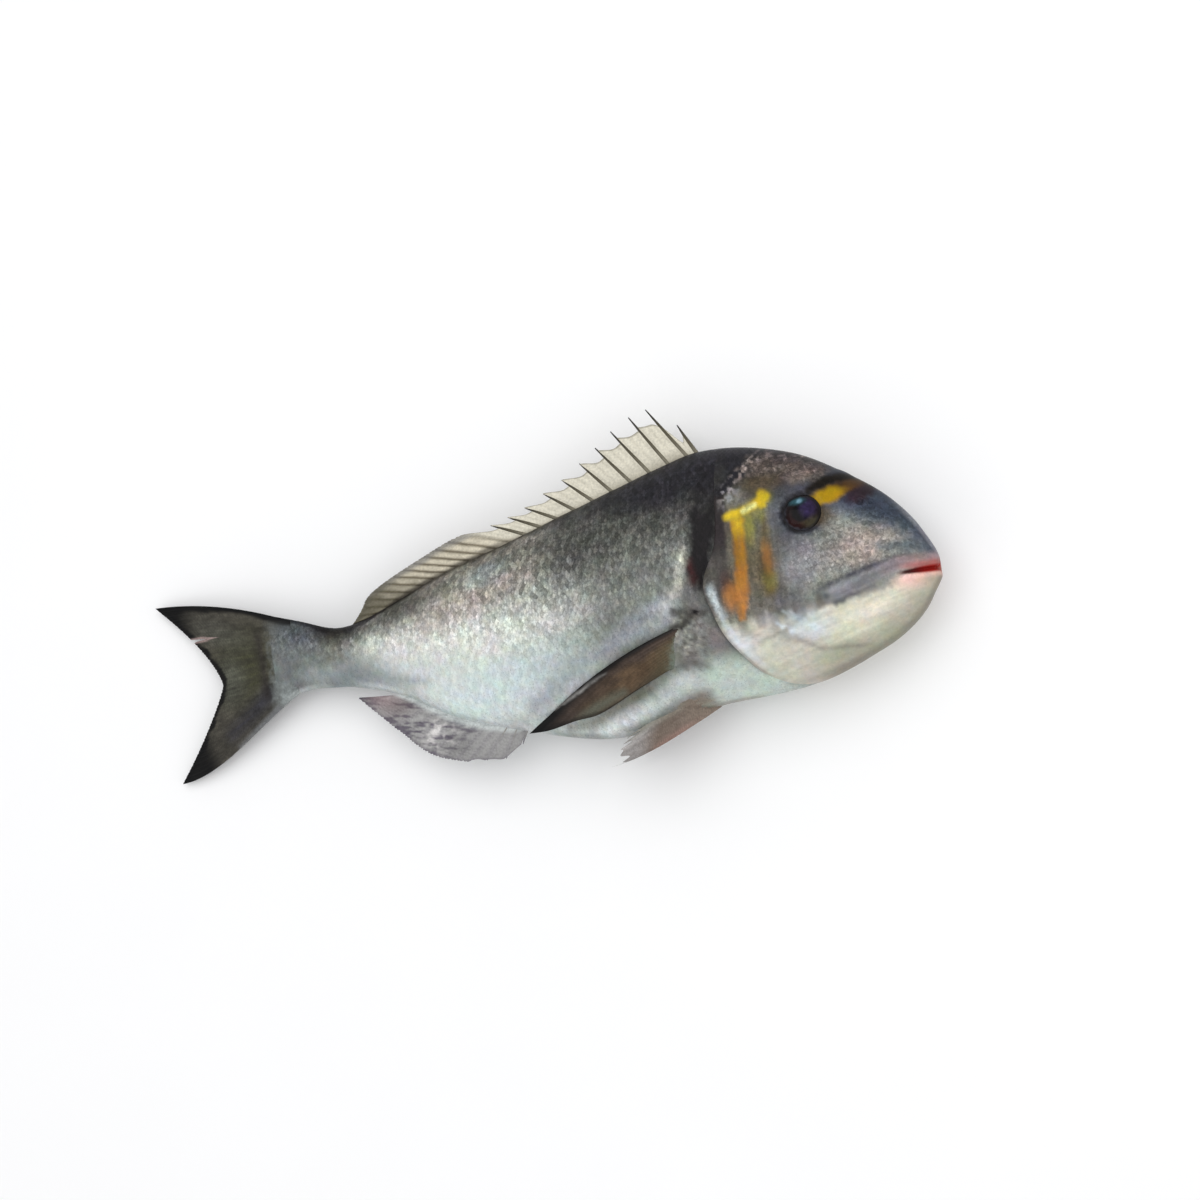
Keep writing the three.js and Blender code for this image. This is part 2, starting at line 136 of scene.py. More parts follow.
# Mesh sizes. The head's rings crowd towards the snout by a power. A fin's are its columns for
# each ray, and its rows.
HEAD_RINGS = 150
TRUNK_RINGS = 296
SNOUT_CROWDING = 1.2
RIGHT_COLUMNS = 160
LEFT_COLUMNS = 44
MEDIAN_MESH = (16, 42)
CAUDAL_MESH = (18, 84)
PAIRED_MESH = (14, 70)
SPINE_RINGS = 18
EYE_RINGS, EYE_COLUMNS = 39, 72

# Fins of the back and belly by the number of the ray, from the front: where it stands, its
# length and its lean in degrees. The web is how far out the membrane reaches behind a spine,
# as shares, how much it rises to the next one, and how much it lacks behind the first.
DORSAL = {
    "spines": 11,
    "last": 23,
    "station": [(0, 86.4), (1, 90.4), (2, 98.1), (10, 159.7), (23, 232)],
    "length": [
        (0, 14), (1, 25.4), (2, 25.2), (3, 23.6), (4, 20.6), (5, 18), (6, 16), (8, 14.8), (10, 15.6),
        (11, 19.6), (12, 21), (14, 20.2), (17, 18.2), (19, 16.8), (20, 14.9), (21, 11.5), (22, 8.6),
        (23, 6.2),
    ],
    "lean": [
        (0, 60), (1, 55), (2, 56), (3, 53), (4, 50), (5, 47), (6, 40), (7, 34), (8, 26), (10, 22.5),
        (11, 18), (12, 16), (14, 13.5), (17, 11.5), (20, 9), (21, 6), (22, 0), (23, -12),
    ],
    "web": [(0, 0.7), (0.5, 0.7), (1, 0.78)],
    "web_rise": [(0, 0), (2, 0), (5, 0.18), (11, 0.2)],
    "first_gap": 0.4,
    "spine_radius": 0.85,
}
ANAL = {
    "first": 170.0,
    "spacing": 3.92,
    "spines": 3,
    "last": 13,
    "length": [
        (0, 6), (1, 13), (2, 16.2), (3, 18.2), (4, 19.3), (5, 20.2), (6, 20.5), (7, 19.9), (8, 18.9),
        (9, 17.8), (10, 17.6), (11, 17.4), (12, 17.9), (13, 18.9),
    ],
    "lean": [(0, 57), (1, 57), (2, 46), (5, 36), (9, 24), (11, 13), (13, -5)],
    "web": [(0, 0.97), (0.5, 0.93), (1, 0.96)],
    "web_rise": [(0, 0), (13, 0)],
    "first_gap": 0.0,
    "spine_radius": 0.55,
}
# The tail fin. Pairs are for its upper and lower edge: heights of the root and the tips, reach
# and curve of the lobes behind the fork, and how far the rays bow.
CAUDAL = {
    "last": 16,
    "length": 45.0,
    "root_station": 266.0,
    "root": (22.0, -7.5),
    "tip": (38.0, -36.7),
    "fork": (301.5, 1.0),
    "lobes": ((28.5, 1.4), (26.2, 1.25)),
    "bow": (3.2, -4.0),
    "floor_gap": 1.0,
}
# The paired fins lie back along the flank. Tips are by the share of the way from the upper to
# the lower edge, and the fin hugs the skin at its upper edge more than at its lower one.
PECTORAL = {
    "rays": 14,
    "root_top": (96.2, -7.0),
    "root_bottom": (103.5, -23.0),
    "tip_station": [(0, 165), (0.12, 157), (0.3, 146), (0.5, 135), (0.75, 118.5), (1, 107)],
    "tip_height": [(0, -38.8), (0.12, -38.8), (0.3, -36.8), (0.5, -35.4), (0.75, -28.8), (1, -24.2)],
    "bow": 3.4,
    "low_bow": 0.0,
    "keel_clearance": 9.0,
    "stand_off": 1.7,
    "hug": 1.0,
    "root_sink": 0.3,
    "sag": 0.0,
    "fray": 0.0,
    "thickness": 1.2,
}
PELVIC = {
    "rays": 6,
    "root_top": (92.0, -32.5),
    "root_bottom": (90.5, -38.8),
    "tip_station": [(0, 129), (0.5, 132.3), (0.85, 132), (1, 136.5)],
    "tip_height": [(0, -46.0), (0.5, -51.0), (0.85, -55.4), (1, -56.1)],
    "bow": 1.2,
    "low_bow": 2.8,
    "keel_clearance": 4.0,
    "stand_off": 1.0,
    "hug": 0.1,
    "root_sink": 1.1,
    "sag": 4.0,
    "fray": 0.11,
    "thickness": 0.9,
}
# The length that the joints of a paired fin's rays are counted on.
PAIRED_LENGTH = 60.0
# The share of its length over which a paired fin leaves the skin, how much higher than the
# right ones the left ones lie, and how far they stay off the floor.
FIN_LIFT_END = 0.4
LEFT_RISE = 2.4
FLOOR_CLEARANCE = 0.8
# How deep the single fins are set in the body, how much shorter than its ray a spine is, how
# much of its radius it loses, how far its tip bends ahead, and how far its middle bows out.
ROOT_DEPTH = 3.0
TIP_TRIM = 0.3
SPINE_TAPER = 0.76
SPINE_BEND = 0.9
SPINE_BOW = 0.5


# ---------------------------------------------------------------- curves and masks

def smooth(points, at):
    """A cubic through (position, value) points, with slopes from the neighbours."""
    x, y = np.array(points, float).T
    m = np.empty_like(y)
    m[1:-1] = (y[2:] - y[:-2]) / (x[2:] - x[:-2])
    m[0] = (y[1] - y[0]) / (x[1] - x[0])
    m[-1] = (y[-1] - y[-2]) / (x[-1] - x[-2])
    at = np.clip(np.asarray(at, float), x[0], x[-1])
    i = np.clip(np.searchsorted(x, at, side="right") - 1, 0, len(x) - 2)
    h = x[i + 1] - x[i]
    t = (at - x[i]) / h
    u = 1 - t
    values = (1 + 2 * t) * u * u * y[i] + t * t * (3 - 2 * t) * y[i + 1]
    return values + h * (t * u * u * m[i] - t * t * u * m[i + 1])


def profile(points, s):
    """A line of the body. It is smooth over the root of the station, which rounds the snout."""
    rooted = [(math.sqrt(station / BODY_LENGTH), value) for station, value in points]
    return smooth(rooted, np.sqrt(np.clip(s, 0, None) / BODY_LENGTH))


def back(s):
    return profile(BACK, s)


def belly(s):
    return profile(BELLY, s)


def mid_height(s):
    """How high the middle of the body lies above the floor."""
    share = np.clip((s - DROOP_START) / DROOP_LENGTH, 0, None)
    return MID_HEIGHT - TAIL_DROOP * share ** DROOP_CURVE


def step(x, start, end):
    """0 before start and 1 after end, with a soft change between them."""
    t = np.clip((np.asarray(x, float) - start) / (end - start), 0, 1)
    return t * t * (3 - 2 * t)


def fall(x, start, end):
    """1 before start and 0 after end."""
    return 1 - step(x, start, end)


def bell(distance, width):
    """1 at no distance, fading on both sides."""
    return np.exp(-((distance / width) ** 2))


def mix(a, b, share):
    """From a to b by a share between 0 and 1."""
    return a + (b - a) * share


def blend(a, b, share):
    """The mix of two colours at each point."""
    return mix(a, b, share[..., None])


def distance_to(s, y, start, end):
    """Distance to a straight stretch, and how far along it the nearest point is."""
    run = np.array(end, float) - np.array(start, float)
    t = np.clip(((s - start[0]) * run[0] + (y - start[1]) * run[1]) / (run @ run), 0, 1)
    return np.hypot(s - start[0] - t * run[0], y - start[1] - t * run[1]), t


def stripe(s, y, points, halves, soft):
    """1 within a stripe through the points, whose half width changes from point to point."""
    mask = np.zeros(np.broadcast(s, y).shape)
    for i in range(len(points) - 1):
        distance, t = distance_to(s, y, points[i], points[i + 1])
        half = mix(halves[i], halves[i + 1], t)
        mask = np.maximum(mask, fall(distance, half - soft, half + soft))
    return mask


def blob(s, y, centre, radii, soft, turn=0.0):
    """1 within an ellipse, fading over a share of its radius. The turn lifts its front end."""
    c, d = math.cos(math.radians(turn)), math.sin(math.radians(turn))
    ds, dy = s - centre[0], y - centre[1]
    reach = np.hypot((c * ds - d * dy) / radii[0], (d * ds + c * dy) / radii[1])
    return fall(reach, 1 - soft, 1 + soft)


def ripple(a, b, seed=0.0):
    """Soft uneven values between -1 and 1, the same on each run."""
    return (
        np.sin(a + 2.1 * np.sin(0.7 * b + seed) + seed)
        + np.sin(1.3 * b + 1.7 * np.sin(0.9 * a + 2 * seed))
        + np.sin(2.3 * a - 1.9 * b + 3 * seed)
    ) / 3


def grain(a, b, seed=0.0):
    """Noise between -1 and 1 with blotches one unit wide, the same on each run."""
    i, j = np.floor(a), np.floor(b)
    share_a, share_b = step(a - i, 0, 1), step(b - j, 0, 1)

    def corner(di, dj):
        raw = np.sin((i + di) * 127.1 + (j + dj) * 311.7 + 74.7 * seed) * 43758.5453
        return 2 * (raw - np.floor(raw)) - 1

    low = mix(corner(0, 0), corner(1, 0), share_a)
    high = mix(corner(0, 1), corner(1, 1), share_a)
    return mix(low, high, share_b)


# ---------------------------------------------------------------- the body's shape

def gill_edge(angle):
    """Station of the gill cover's edge."""
    return smooth(GILL_EDGE, angle)


def gill_cover(angle):
    """1 where the gill slit is open behind its cover, 0 on the nape and under the throat."""
    low = step(angle, GILL_LOW_ANGLE - GILL_END_FADE, GILL_LOW_ANGLE + GILL_END_FADE)
    return low * fall(angle, GILL_TOP_ANGLE - GILL_END_FADE, GILL_TOP_ANGLE + GILL_END_FADE)


def section(s, angle):
    """Height and half thickness of the plain body at an angle, and its outward direction."""
    top, bottom, width = back(s), belly(s), profile(HALF_WIDTH, s)
    half = (top - bottom) / 2
    up, out = np.sin(np.radians(angle)), np.cos(np.radians(angle))
    keel = np.where(angle > 0, BACK_KEEL, BELLY_KEEL)
    y = (top + bottom) / 2 + half * up
    z = width * ((1 - keel) * out + keel * out * out)
    size = np.hypot(width * up, half * out)
    return y, z, width * up / size, half * out / size


def covered_rise(s, angle):
    """How far the gill cover stands out of the plain body."""
    edge = gill_edge(angle)
    height = GILL_STEP * mix(0.3, 1, step(angle, -48, -16))
    return height * gill_cover(angle) * step(s, edge - 22, edge - 4)


def cheek_distance(s, y):
    """Distance to the ridge round the cheek."""
    parts = [distance_to(s, y, a, b)[0] for a, b in zip(CHEEK_RIDGE, CHEEK_RIDGE[1:])]
    return np.min(parts, axis=0)


def inside_cheek(s, y):
    """True ahead of and above the cheek's ridge."""
    edge = np.interp(y, [-25, -24, -19, -10, 14, 30], [26, 47, 55, 58.5, 57, 56])
    return (s < edge) & (y > -25)


def jaw_distance(s, y):
    """Distance outside the upper jaw, negative inside it, and how far above its middle."""
    outside = np.full(np.broadcast(s, y).shape, 99.0)
    for i in range(len(JAW) - 1):
        distance, t = distance_to(s, y, JAW[i], JAW[i + 1])
        outside = np.minimum(outside, distance - mix(JAW_HALVES[i], JAW_HALVES[i + 1], t))
    return outside, y - smooth(JAW, s)


def head_relief(s, y, angle):
    """How far the head's skin stands out from the plain body."""
    out = covered_rise(s, angle)
    ridge = cheek_distance(s, y)
    ridge_fade = fall(y, 4, 14) * step(s, 26, 36) * mix(0.3, 1, step(y, -22, -14))
    out += 0.22 * ridge_fade * np.where(inside_cheek(s, y), np.exp(-ridge / 5), -np.exp(-ridge / 2.4))
    jaw, above = jaw_distance(s, y)
    out += mix(1.0, 0.35, step(s, 18, 38)) * fall(jaw, -3.2, 0.8) * mix(0.3, 1, step(above, -2.5, 1))
    out -= 0.4 * bell(jaw - 0.9, 0.9) * step(above, 0, 2) * step(s, 8, 18) * fall(s, 36, 42)
    mouth, _ = distance_to(s, y, MOUTH_TIP, MOUTH_CORNER)
    out -= 1.7 * bell(mouth, 0.6) * step(s, 0, 2.8) * fall(s, 9, 16)
    out += 0.7 * bell(mouth - 2.3, 1.5) * fall(above, -3, -1) * fall(s, 7, 20)
    eye = np.hypot(s - EYE[0], y - EYE[1])
    out += 0.4 * bell(eye - 9.0, 1.6) - 0.4 * bell(eye - 7.2, 0.8) - 1.4 * fall(eye, 4.6, 6.6)
    out += 0.5 * blob(s, y, (41, 37.5), (13, 3), 0.5, 18)
    for centre, radius in NOSTRILS:
        hole = np.hypot(s - centre[0], y - centre[1])
        out += 0.25 * bell(hole - radius - 0.6, 0.5) - 1.0 * fall(hole, radius - 0.7, radius + 0.2)
    cheek = blob(s, y, (33, 8), (17, 14), 0.5, -10)
    out += 0.1 * cheek * ripple(s / 0.9, y / 0.8, 0.4)
    return out + 0.12 * ripple(s / 6.5, y / 5.5, 1.3) * step(s, 8, 20)


def trunk_relief(s, y, angle):
    """How far the trunk's skin stands out, without its scales."""
    edge = gill_edge(angle)
    depth = SLIT_DEPTH * mix(0.25, 1, step(angle, -48, -16))
    out = -depth * gill_cover(angle) * np.exp(-np.clip(s - edge - 1, 0, None) / SLIT_LENGTH)
    out += 0.2 * bell(y - smooth(LATERAL_LINE, s), 0.9) * step(s, 90, 98)
    out += 0.5 * blob(s, y, (97, -13), (6, 9), 0.6)
    return out + 0.14 * ripple(s / 9, y / 7, 0.6)


def flank_height(s, y, side):
    """Height above the floor of one flank's plain skin at a station and a height y."""
    top, bottom = back(s), belly(s)
    share = np.clip((2 * y - top - bottom) / (top - bottom), -1, 1)
    angle = np.degrees(np.arcsin(share))
    _, z, _, _ = section(s, angle)
    rise = np.where(s <= gill_edge(angle), covered_rise(s, angle), 0)
    return mid_height(s) + side * (z + rise)


def shingles(u, v):
    """How far ahead of its scale's rear edge a point lies, in scale lengths."""
    ahead = np.ones(np.broadcast(u, v).shape)
    low = np.floor(v)
    for row in (low, low + 1):
        arc = SCALE_ARC * np.sqrt(np.clip(1 - (v - row) ** 2, 0, 1))
        ahead = np.minimum(ahead, np.mod(arc + 0.5 * np.mod(row, 2) - u, 1))
    return ahead


def scale_size(s):
    """Scales shrink towards the tail stalk and over the nape."""
    return 1 - 0.32 * step(s, 170, 262) - 0.25 * fall(s, 78, 110)


def scale_cover(s, y, trunk):
    """How strongly scales show: full on the trunk, faint on the cheek and the gill cover."""
    nape = step(s + 0.75 * (y - 40), 66, 76) * step(y, 34, 40)
    cheek = blob(s, y, (43, 7), (13, 11), 0.3)
    cover = blob(s, y, (68, 14), (9, 24), 0.3)
    head = np.clip(nape + 0.35 * cheek + 0.3 * cover, 0, 1)
    throat = blob(s, y, (84, -28), (20, 12), 0.5)
    return np.where(trunk, 1 - 0.6 * step(s, 268, 276) - 0.7 * throat, head)


def column_angles(count):
    """Angles round one flank that are the same distance apart on the deepest section."""
    fine = np.linspace(-90, 90, 721)
    y, z, _, _ = section(np.full_like(fine, GILL_STATION), fine)
    arc = np.append(0, np.cumsum(np.hypot(np.diff(y), np.diff(z))))
    return np.interp(np.linspace(0, arc[-1], count + 1), arc, fine)


def body_rings(angle):
    """Stations, folds out of the body and trunk flags of all rings, one row for each ring."""
    edge, slit = gill_edge(angle), gill_cover(angle)
    stations, folds, trunk = [], [], []
    for share in np.linspace(0, 1, HEAD_RINGS + 1) ** SNOUT_CROWDING:
        station = GILL_STATION * share
        stations.append(station * (1 + (edge / GILL_STATION - 1) * share ** 3))
        folds.append(np.full_like(angle, np.nan))
        trunk.append(False)
    for plain, tucked, out in GILL_FOLD:
        stations.append(edge + mix(plain, tucked, slit))
        folds.append(slit * out)
        trunk.append(plain > GILL_FOLD[1][0])
    for share in np.linspace(0, 1, TRUNK_RINGS + 1):
        stations.append(mix(edge + mix(1.5, 0.4, slit), BODY_LENGTH, share))
        folds.append(np.full_like(angle, np.nan))
        trunk.append(True)
    return np.array(stations), np.array(folds), np.array(trunk)


def scale_places(s, y, z):
    """Scale coordinates: u counts scales tailwards, and v their rows upwards on the right flank."""
    around = np.zeros_like(s)
    around[:, 1:] = np.cumsum(np.hypot(np.diff(y, axis=1), np.diff(z, axis=1)), axis=1)
    half = RIGHT_COLUMNS + 1
    around[:, half:] = 2 * around[:, half - 1:half] - around[:, half:]
    line = smooth(LATERAL_LINE, s[:, 0])
    start = [np.interp(*ring) for ring in zip(line, y[:, :half], around[:, :half])]
    v = (around - np.array(start)[:, None]) / (SCALE_HEIGHT * scale_size(s)) + LINE_ROW
    fine = np.linspace(0, BODY_LENGTH, 600)
    scales = np.append(0, np.cumsum(np.diff(fine) / (SCALE_LENGTH * scale_size(fine[1:]))))
    return np.interp(s, fine, scales), v


def body_grid():
    """Everything that is known of the body's mesh points, as arrays of rings by columns."""
    right, left = column_angles(RIGHT_COLUMNS), column_angles(LEFT_COLUMNS)
    angle = np.append(right, left[-2:0:-1])
    side = np.append(np.ones(len(right)), -np.ones(len(left) - 2))
    s, fold, trunk = body_rings(angle)
    trunk = np.repeat(trunk[:, None], len(angle), 1)
    angle = np.broadcast_to(angle, s.shape)
    y, z, out_y, out_z = section(s, angle)
    u, v = scale_places(s, y, z)

    plain = np.where(trunk, trunk_relief(s, y, angle), head_relief(s, y, angle))
    cover = scale_cover(s, y, trunk)
    sunk = SCALE_RISE * cover * np.clip(shingles(u, v) / SCALE_ARC, 0, 1)
    out = np.where(np.isnan(fold), plain - sunk, fold)
    height = np.maximum(mid_height(s) + side * (z + out_z * out), 0)
    mouth, _ = distance_to(s, y, MOUTH_TIP, MOUTH_CORNER)
    notch = MOUTH_NOTCH * bell(mouth, 0.8) * fall(s, 0, 3.4)
    return {
        "points": np.stack([-s - notch, y + out_y * out, height], -1), "s": s, "y": y, "angle": angle,
        "trunk": trunk, "fold": ~np.isnan(fold), "u": u, "v": v, "cover": cover,
    }


def ring_faces(rings, columns):
    """Faces between closed rings of points, each ring with the next."""
    i, j = np.meshgrid(np.arange(rings - 1), np.arange(columns), indexing="ij")
    near, after = (i * columns + j).ravel(), (i * columns + (j + 1) % columns).ravel()
    return np.stack([near, near + columns, after + columns, after], -1)


def body_faces(rings, columns):
    """Faces of the closed body, with a fan at each end."""
    quads = ring_faces(rings, columns)[:, [0, 3, 2, 1]].tolist()
    last = (rings - 1) * columns
    fans = [[0, j + 1, j] for j in range(1, columns - 1)]
    fans += [[last, last + j, last + j + 1] for j in range(1, columns - 1)]
    return quads + fans


# ---------------------------------------------------------------- colours of the body

def srgb(r, g, b):
    """A colour given as 0 to 255 on screen, as light."""
    c = np.array([r, g, b]) / 255
    return np.where(c <= 0.04045, c / 12.92, ((c + 0.055) / 1.055) ** 2.4)


BACK_DARK = srgb(35, 34, 39)
BACK_OLIVE = srgb(46, 41, 34)
UPPER_GREY = srgb(80, 80, 76)
UPPER_GREY_REAR = srgb(106, 103, 95)
FLANK_PEARL = srgb(222, 226, 218)
FLANK_FRONT = srgb(114, 117, 113)
FLANK_BLUE = srgb(184, 194, 202)
KEEL_SHADE = srgb(116, 118, 112)
PINK_SHEEN = srgb(176, 160, 150)
CYAN_SHEEN = srgb(192, 214, 216)
BELLY_PALE = srgb(206, 213, 211)
PECTORAL_SHADOW = srgb(120, 130, 138)
FIN_OLIVE = srgb(112, 108, 90)
STALK_GREY = srgb(128, 134, 133)
STALK_LOW = srgb(138, 146, 150)
STALK_END = srgb(116, 121, 120)
STALK_LIGHT = srgb(205, 215, 198)
SLIT_BLACK = srgb(18, 15, 17)
SLIT_RED = srgb(60, 24, 24)
SILVER_STREAK = srgb(205, 203, 190)
BASE_GREY = srgb(146, 144, 141)
BASE_DARK = srgb(84, 80, 76)
PELVIC_ROOT = srgb(130, 118, 106)
BASE_GREEN = srgb(112, 120, 108)
FIN_DARK = srgb(50, 46, 44)

SLATE = srgb(54, 61, 74)
SLATE_PALE = srgb(86, 94, 102)
PURPLE_BROWN = srgb(45, 31, 40)
UPPER_HEAD = srgb(60, 57, 55)
CROWN = srgb(86, 77, 72)
CROWN_FLECK = srgb(206, 188, 182)
OPERCLE_GREY = srgb(104, 102, 94)
OPERCLE_PURPLE = srgb(44, 38, 39)
CHEEK_GREY = srgb(138, 138, 132)
CHEEK_PINK = srgb(168, 152, 142)
CHEEK_LILAC = srgb(124, 124, 130)
LILAC_PALE = srgb(164, 164, 172)
LOW_CHEEK = srgb(98, 98, 102)
BLUE_WHITE = srgb(206, 217, 222)
CREAM = srgb(213, 209, 192)
THROAT = srgb(202, 199, 186)
ISTHMUS = srgb(200, 212, 203)
CHIN_OLIVE = srgb(158, 156, 138)
CHIN_EDGE_SHADE = srgb(104, 98, 88)
LINE_DARK = srgb(104, 98, 96)
JAW_LILAC = srgb(124, 123, 128)
JAW_HIGHLIGHT = srgb(160, 160, 168)
JAW_DARK = srgb(62, 62, 72)
LIP_GREY = srgb(140, 128, 130)
LIP_PINK = srgb(216, 156, 146)
LIP_RED = srgb(172, 62, 52)
LIP_PALE = srgb(240, 210, 196)
MOUTH_RED = srgb(150, 30, 24)
GOLD = srgb(206, 174, 34)
GOLD_HIGHLIGHT = srgb(218, 218, 140)
ORANGE = srgb(156, 104, 20)
ORANGE_DEEP = srgb(180, 120, 54)
OLIVE_GOLD = srgb(138, 134, 44)
OLIVE_BROWN = srgb(92, 76, 46)
BROW_GOLD = srgb(170, 134, 12)
BROW_BROWN = srgb(70, 46, 18)
BROW_DARK = srgb(28, 22, 14)
EYE_RING = srgb(74, 76, 86)


class Paint:
    """The colour of mesh points, laid on coat by coat. Spots and bands are placed by s and y."""

    def __init__(self, base, s, y):
        self.colour = np.broadcast_to(base, np.shape(s) + (3,))
        self.s, self.y = s, y

    def lay(self, colour, mask):
        """A coat of the colour where its mask says."""
        self.colour = blend(self.colour, colour, mask)

    def spot(self, colour, strength, centre, radii, soft, turn=0):
        """A coat within an ellipse."""
        self.lay(colour, strength * blob(self.s, self.y, centre, radii, soft, turn))

    def band(self, colour, strength, points, halves, soft):
        """A coat within a stripe."""
        self.lay(colour, strength * stripe(self.s, self.y, points, halves, soft))

    def shade(self, amount):
        """Lighter where the amount is above 0, darker where it is below."""
        self.colour = self.colour * (1 + amount)[..., None]

    def tone(self, spots):
        """Soft lighter and darker spots: how much, centre, radii and the turn of the ellipse."""
        at = self.s, self.y
        self.shade(sum(much * blob(*at, centre, radii, 0.7, turn) for much, centre, radii, turn in spots))


# Rows for Paint.tone: lighter and darker patches of the flank and the head.
TRUNK_TONES = [
    (0.24, (230, 11), (6, 6), 0), (-0.3, (215, 19), (9, 7), 20), (-0.2, (245, 9), (5, 7), 0),
    (-0.14, (236, 2), (7, 7), 0), (-0.1, (228, -4), (9, 3), 0), (-0.08, (118, -5), (14, 5), 20),
    (-0.24, (170, 14.6), (9, 5), 16), (0.38, (155, 37), (9, 3), 16), (0.26, (186, 29), (9, 3), 16),
    (0.07, (192, -26), (14, 4), -22), (-0.1, (268, -3), (8, 6), 0), (-0.3, (246, 13.5), (8, 4), 0),
    (0.12, (130, -42), (16, 4), 0), (0.5, (230, 16), (7, 3), 20), (-0.16, (200, 16), (9, 4), 18),
    (0.28, (200, 25.5), (8, 3), 18), (-0.3, (110, -4), (6, 4), 20), (0.2, (110, 7), (7, 5), 20),
    (0.25, (252, -2), (10, 4), 0), (0.3, (128, 12), (22, 9), 22), (0.4, (128, -13), (16, 4), 24),
    (-0.27, (140, 40.7), (8, 3), 16), (0.3, (110, 25), (7, 5), 20), (0.3, (95, 19), (4, 4), 0),
    (-0.16, (95, 9), (4, 4), 0), (-0.2, (95, -10.6), (4, 4), 0), (-0.13, (110, -31.4), (8, 3), 0),
    (-0.14, (170, -33.6), (7, 3), -20), (-0.12, (215, -13), (7, 3), -24),
    (-0.17, (246, -5), (7, 3), 0), (-0.14, (260, -4), (6, 3), 0), (-0.22, (170, 27), (9, 4), 14),
    (-0.15, (200, 22), (7, 3), 18), (-0.28, (125, 44.5), (8, 3), 16), (-0.13, (125, 2), (6, 4), 20),
    (0.12, (260, -1), (5, 2.5), 0),
]
HEAD_TONES = [
    (-0.3, (22, 32.6), (3.5, 2.2), 20), (-0.28, (54, 50), (5, 2.5), 10), (-0.22, (62, 52), (5, 2.5), 5),
    (0.4, (30, 27), (4, 3), 0), (0.34, (46, 41.4), (4, 2.6), 10), (0.2, (70, 38.6), (3, 3), 0),
    (-0.25, (38, 15), (5, 4.5), 0), (-0.25, (54, 34.6), (4, 4), 0), (-0.21, (54, 17), (4, 6), 0),
    (-0.22, (54, -0.5), (5, 5), 0), (-0.16, (54, -9.3), (4, 3), 0), (-0.19, (22, 17.5), (4, 3), 0),
    (0.14, (22, 11), (4, 3), 0), (-0.3, (62.4, 9.8), (2.6, 5), 0), (-0.3, (78, 28), (2.6, 5), 0),
    (0.17, (6, -5), (5, 3.5), 0), (0.14, (14, -1.5), (4, 1.6), 10), (0.17, (30, -15.5), (13, 4), 12),
    (0.16, (30, -20), (6, 3), 12), (0.15, (70, -18.6), (4, 4), 0), (0.2, (78, -26.7), (4, 4), 0),
    (0.14, (46, 12), (4.5, 8), 0), (0.14, (13, 0), (4, 2), 10), (0.12, (78, -18), (3, 3), 0),
]


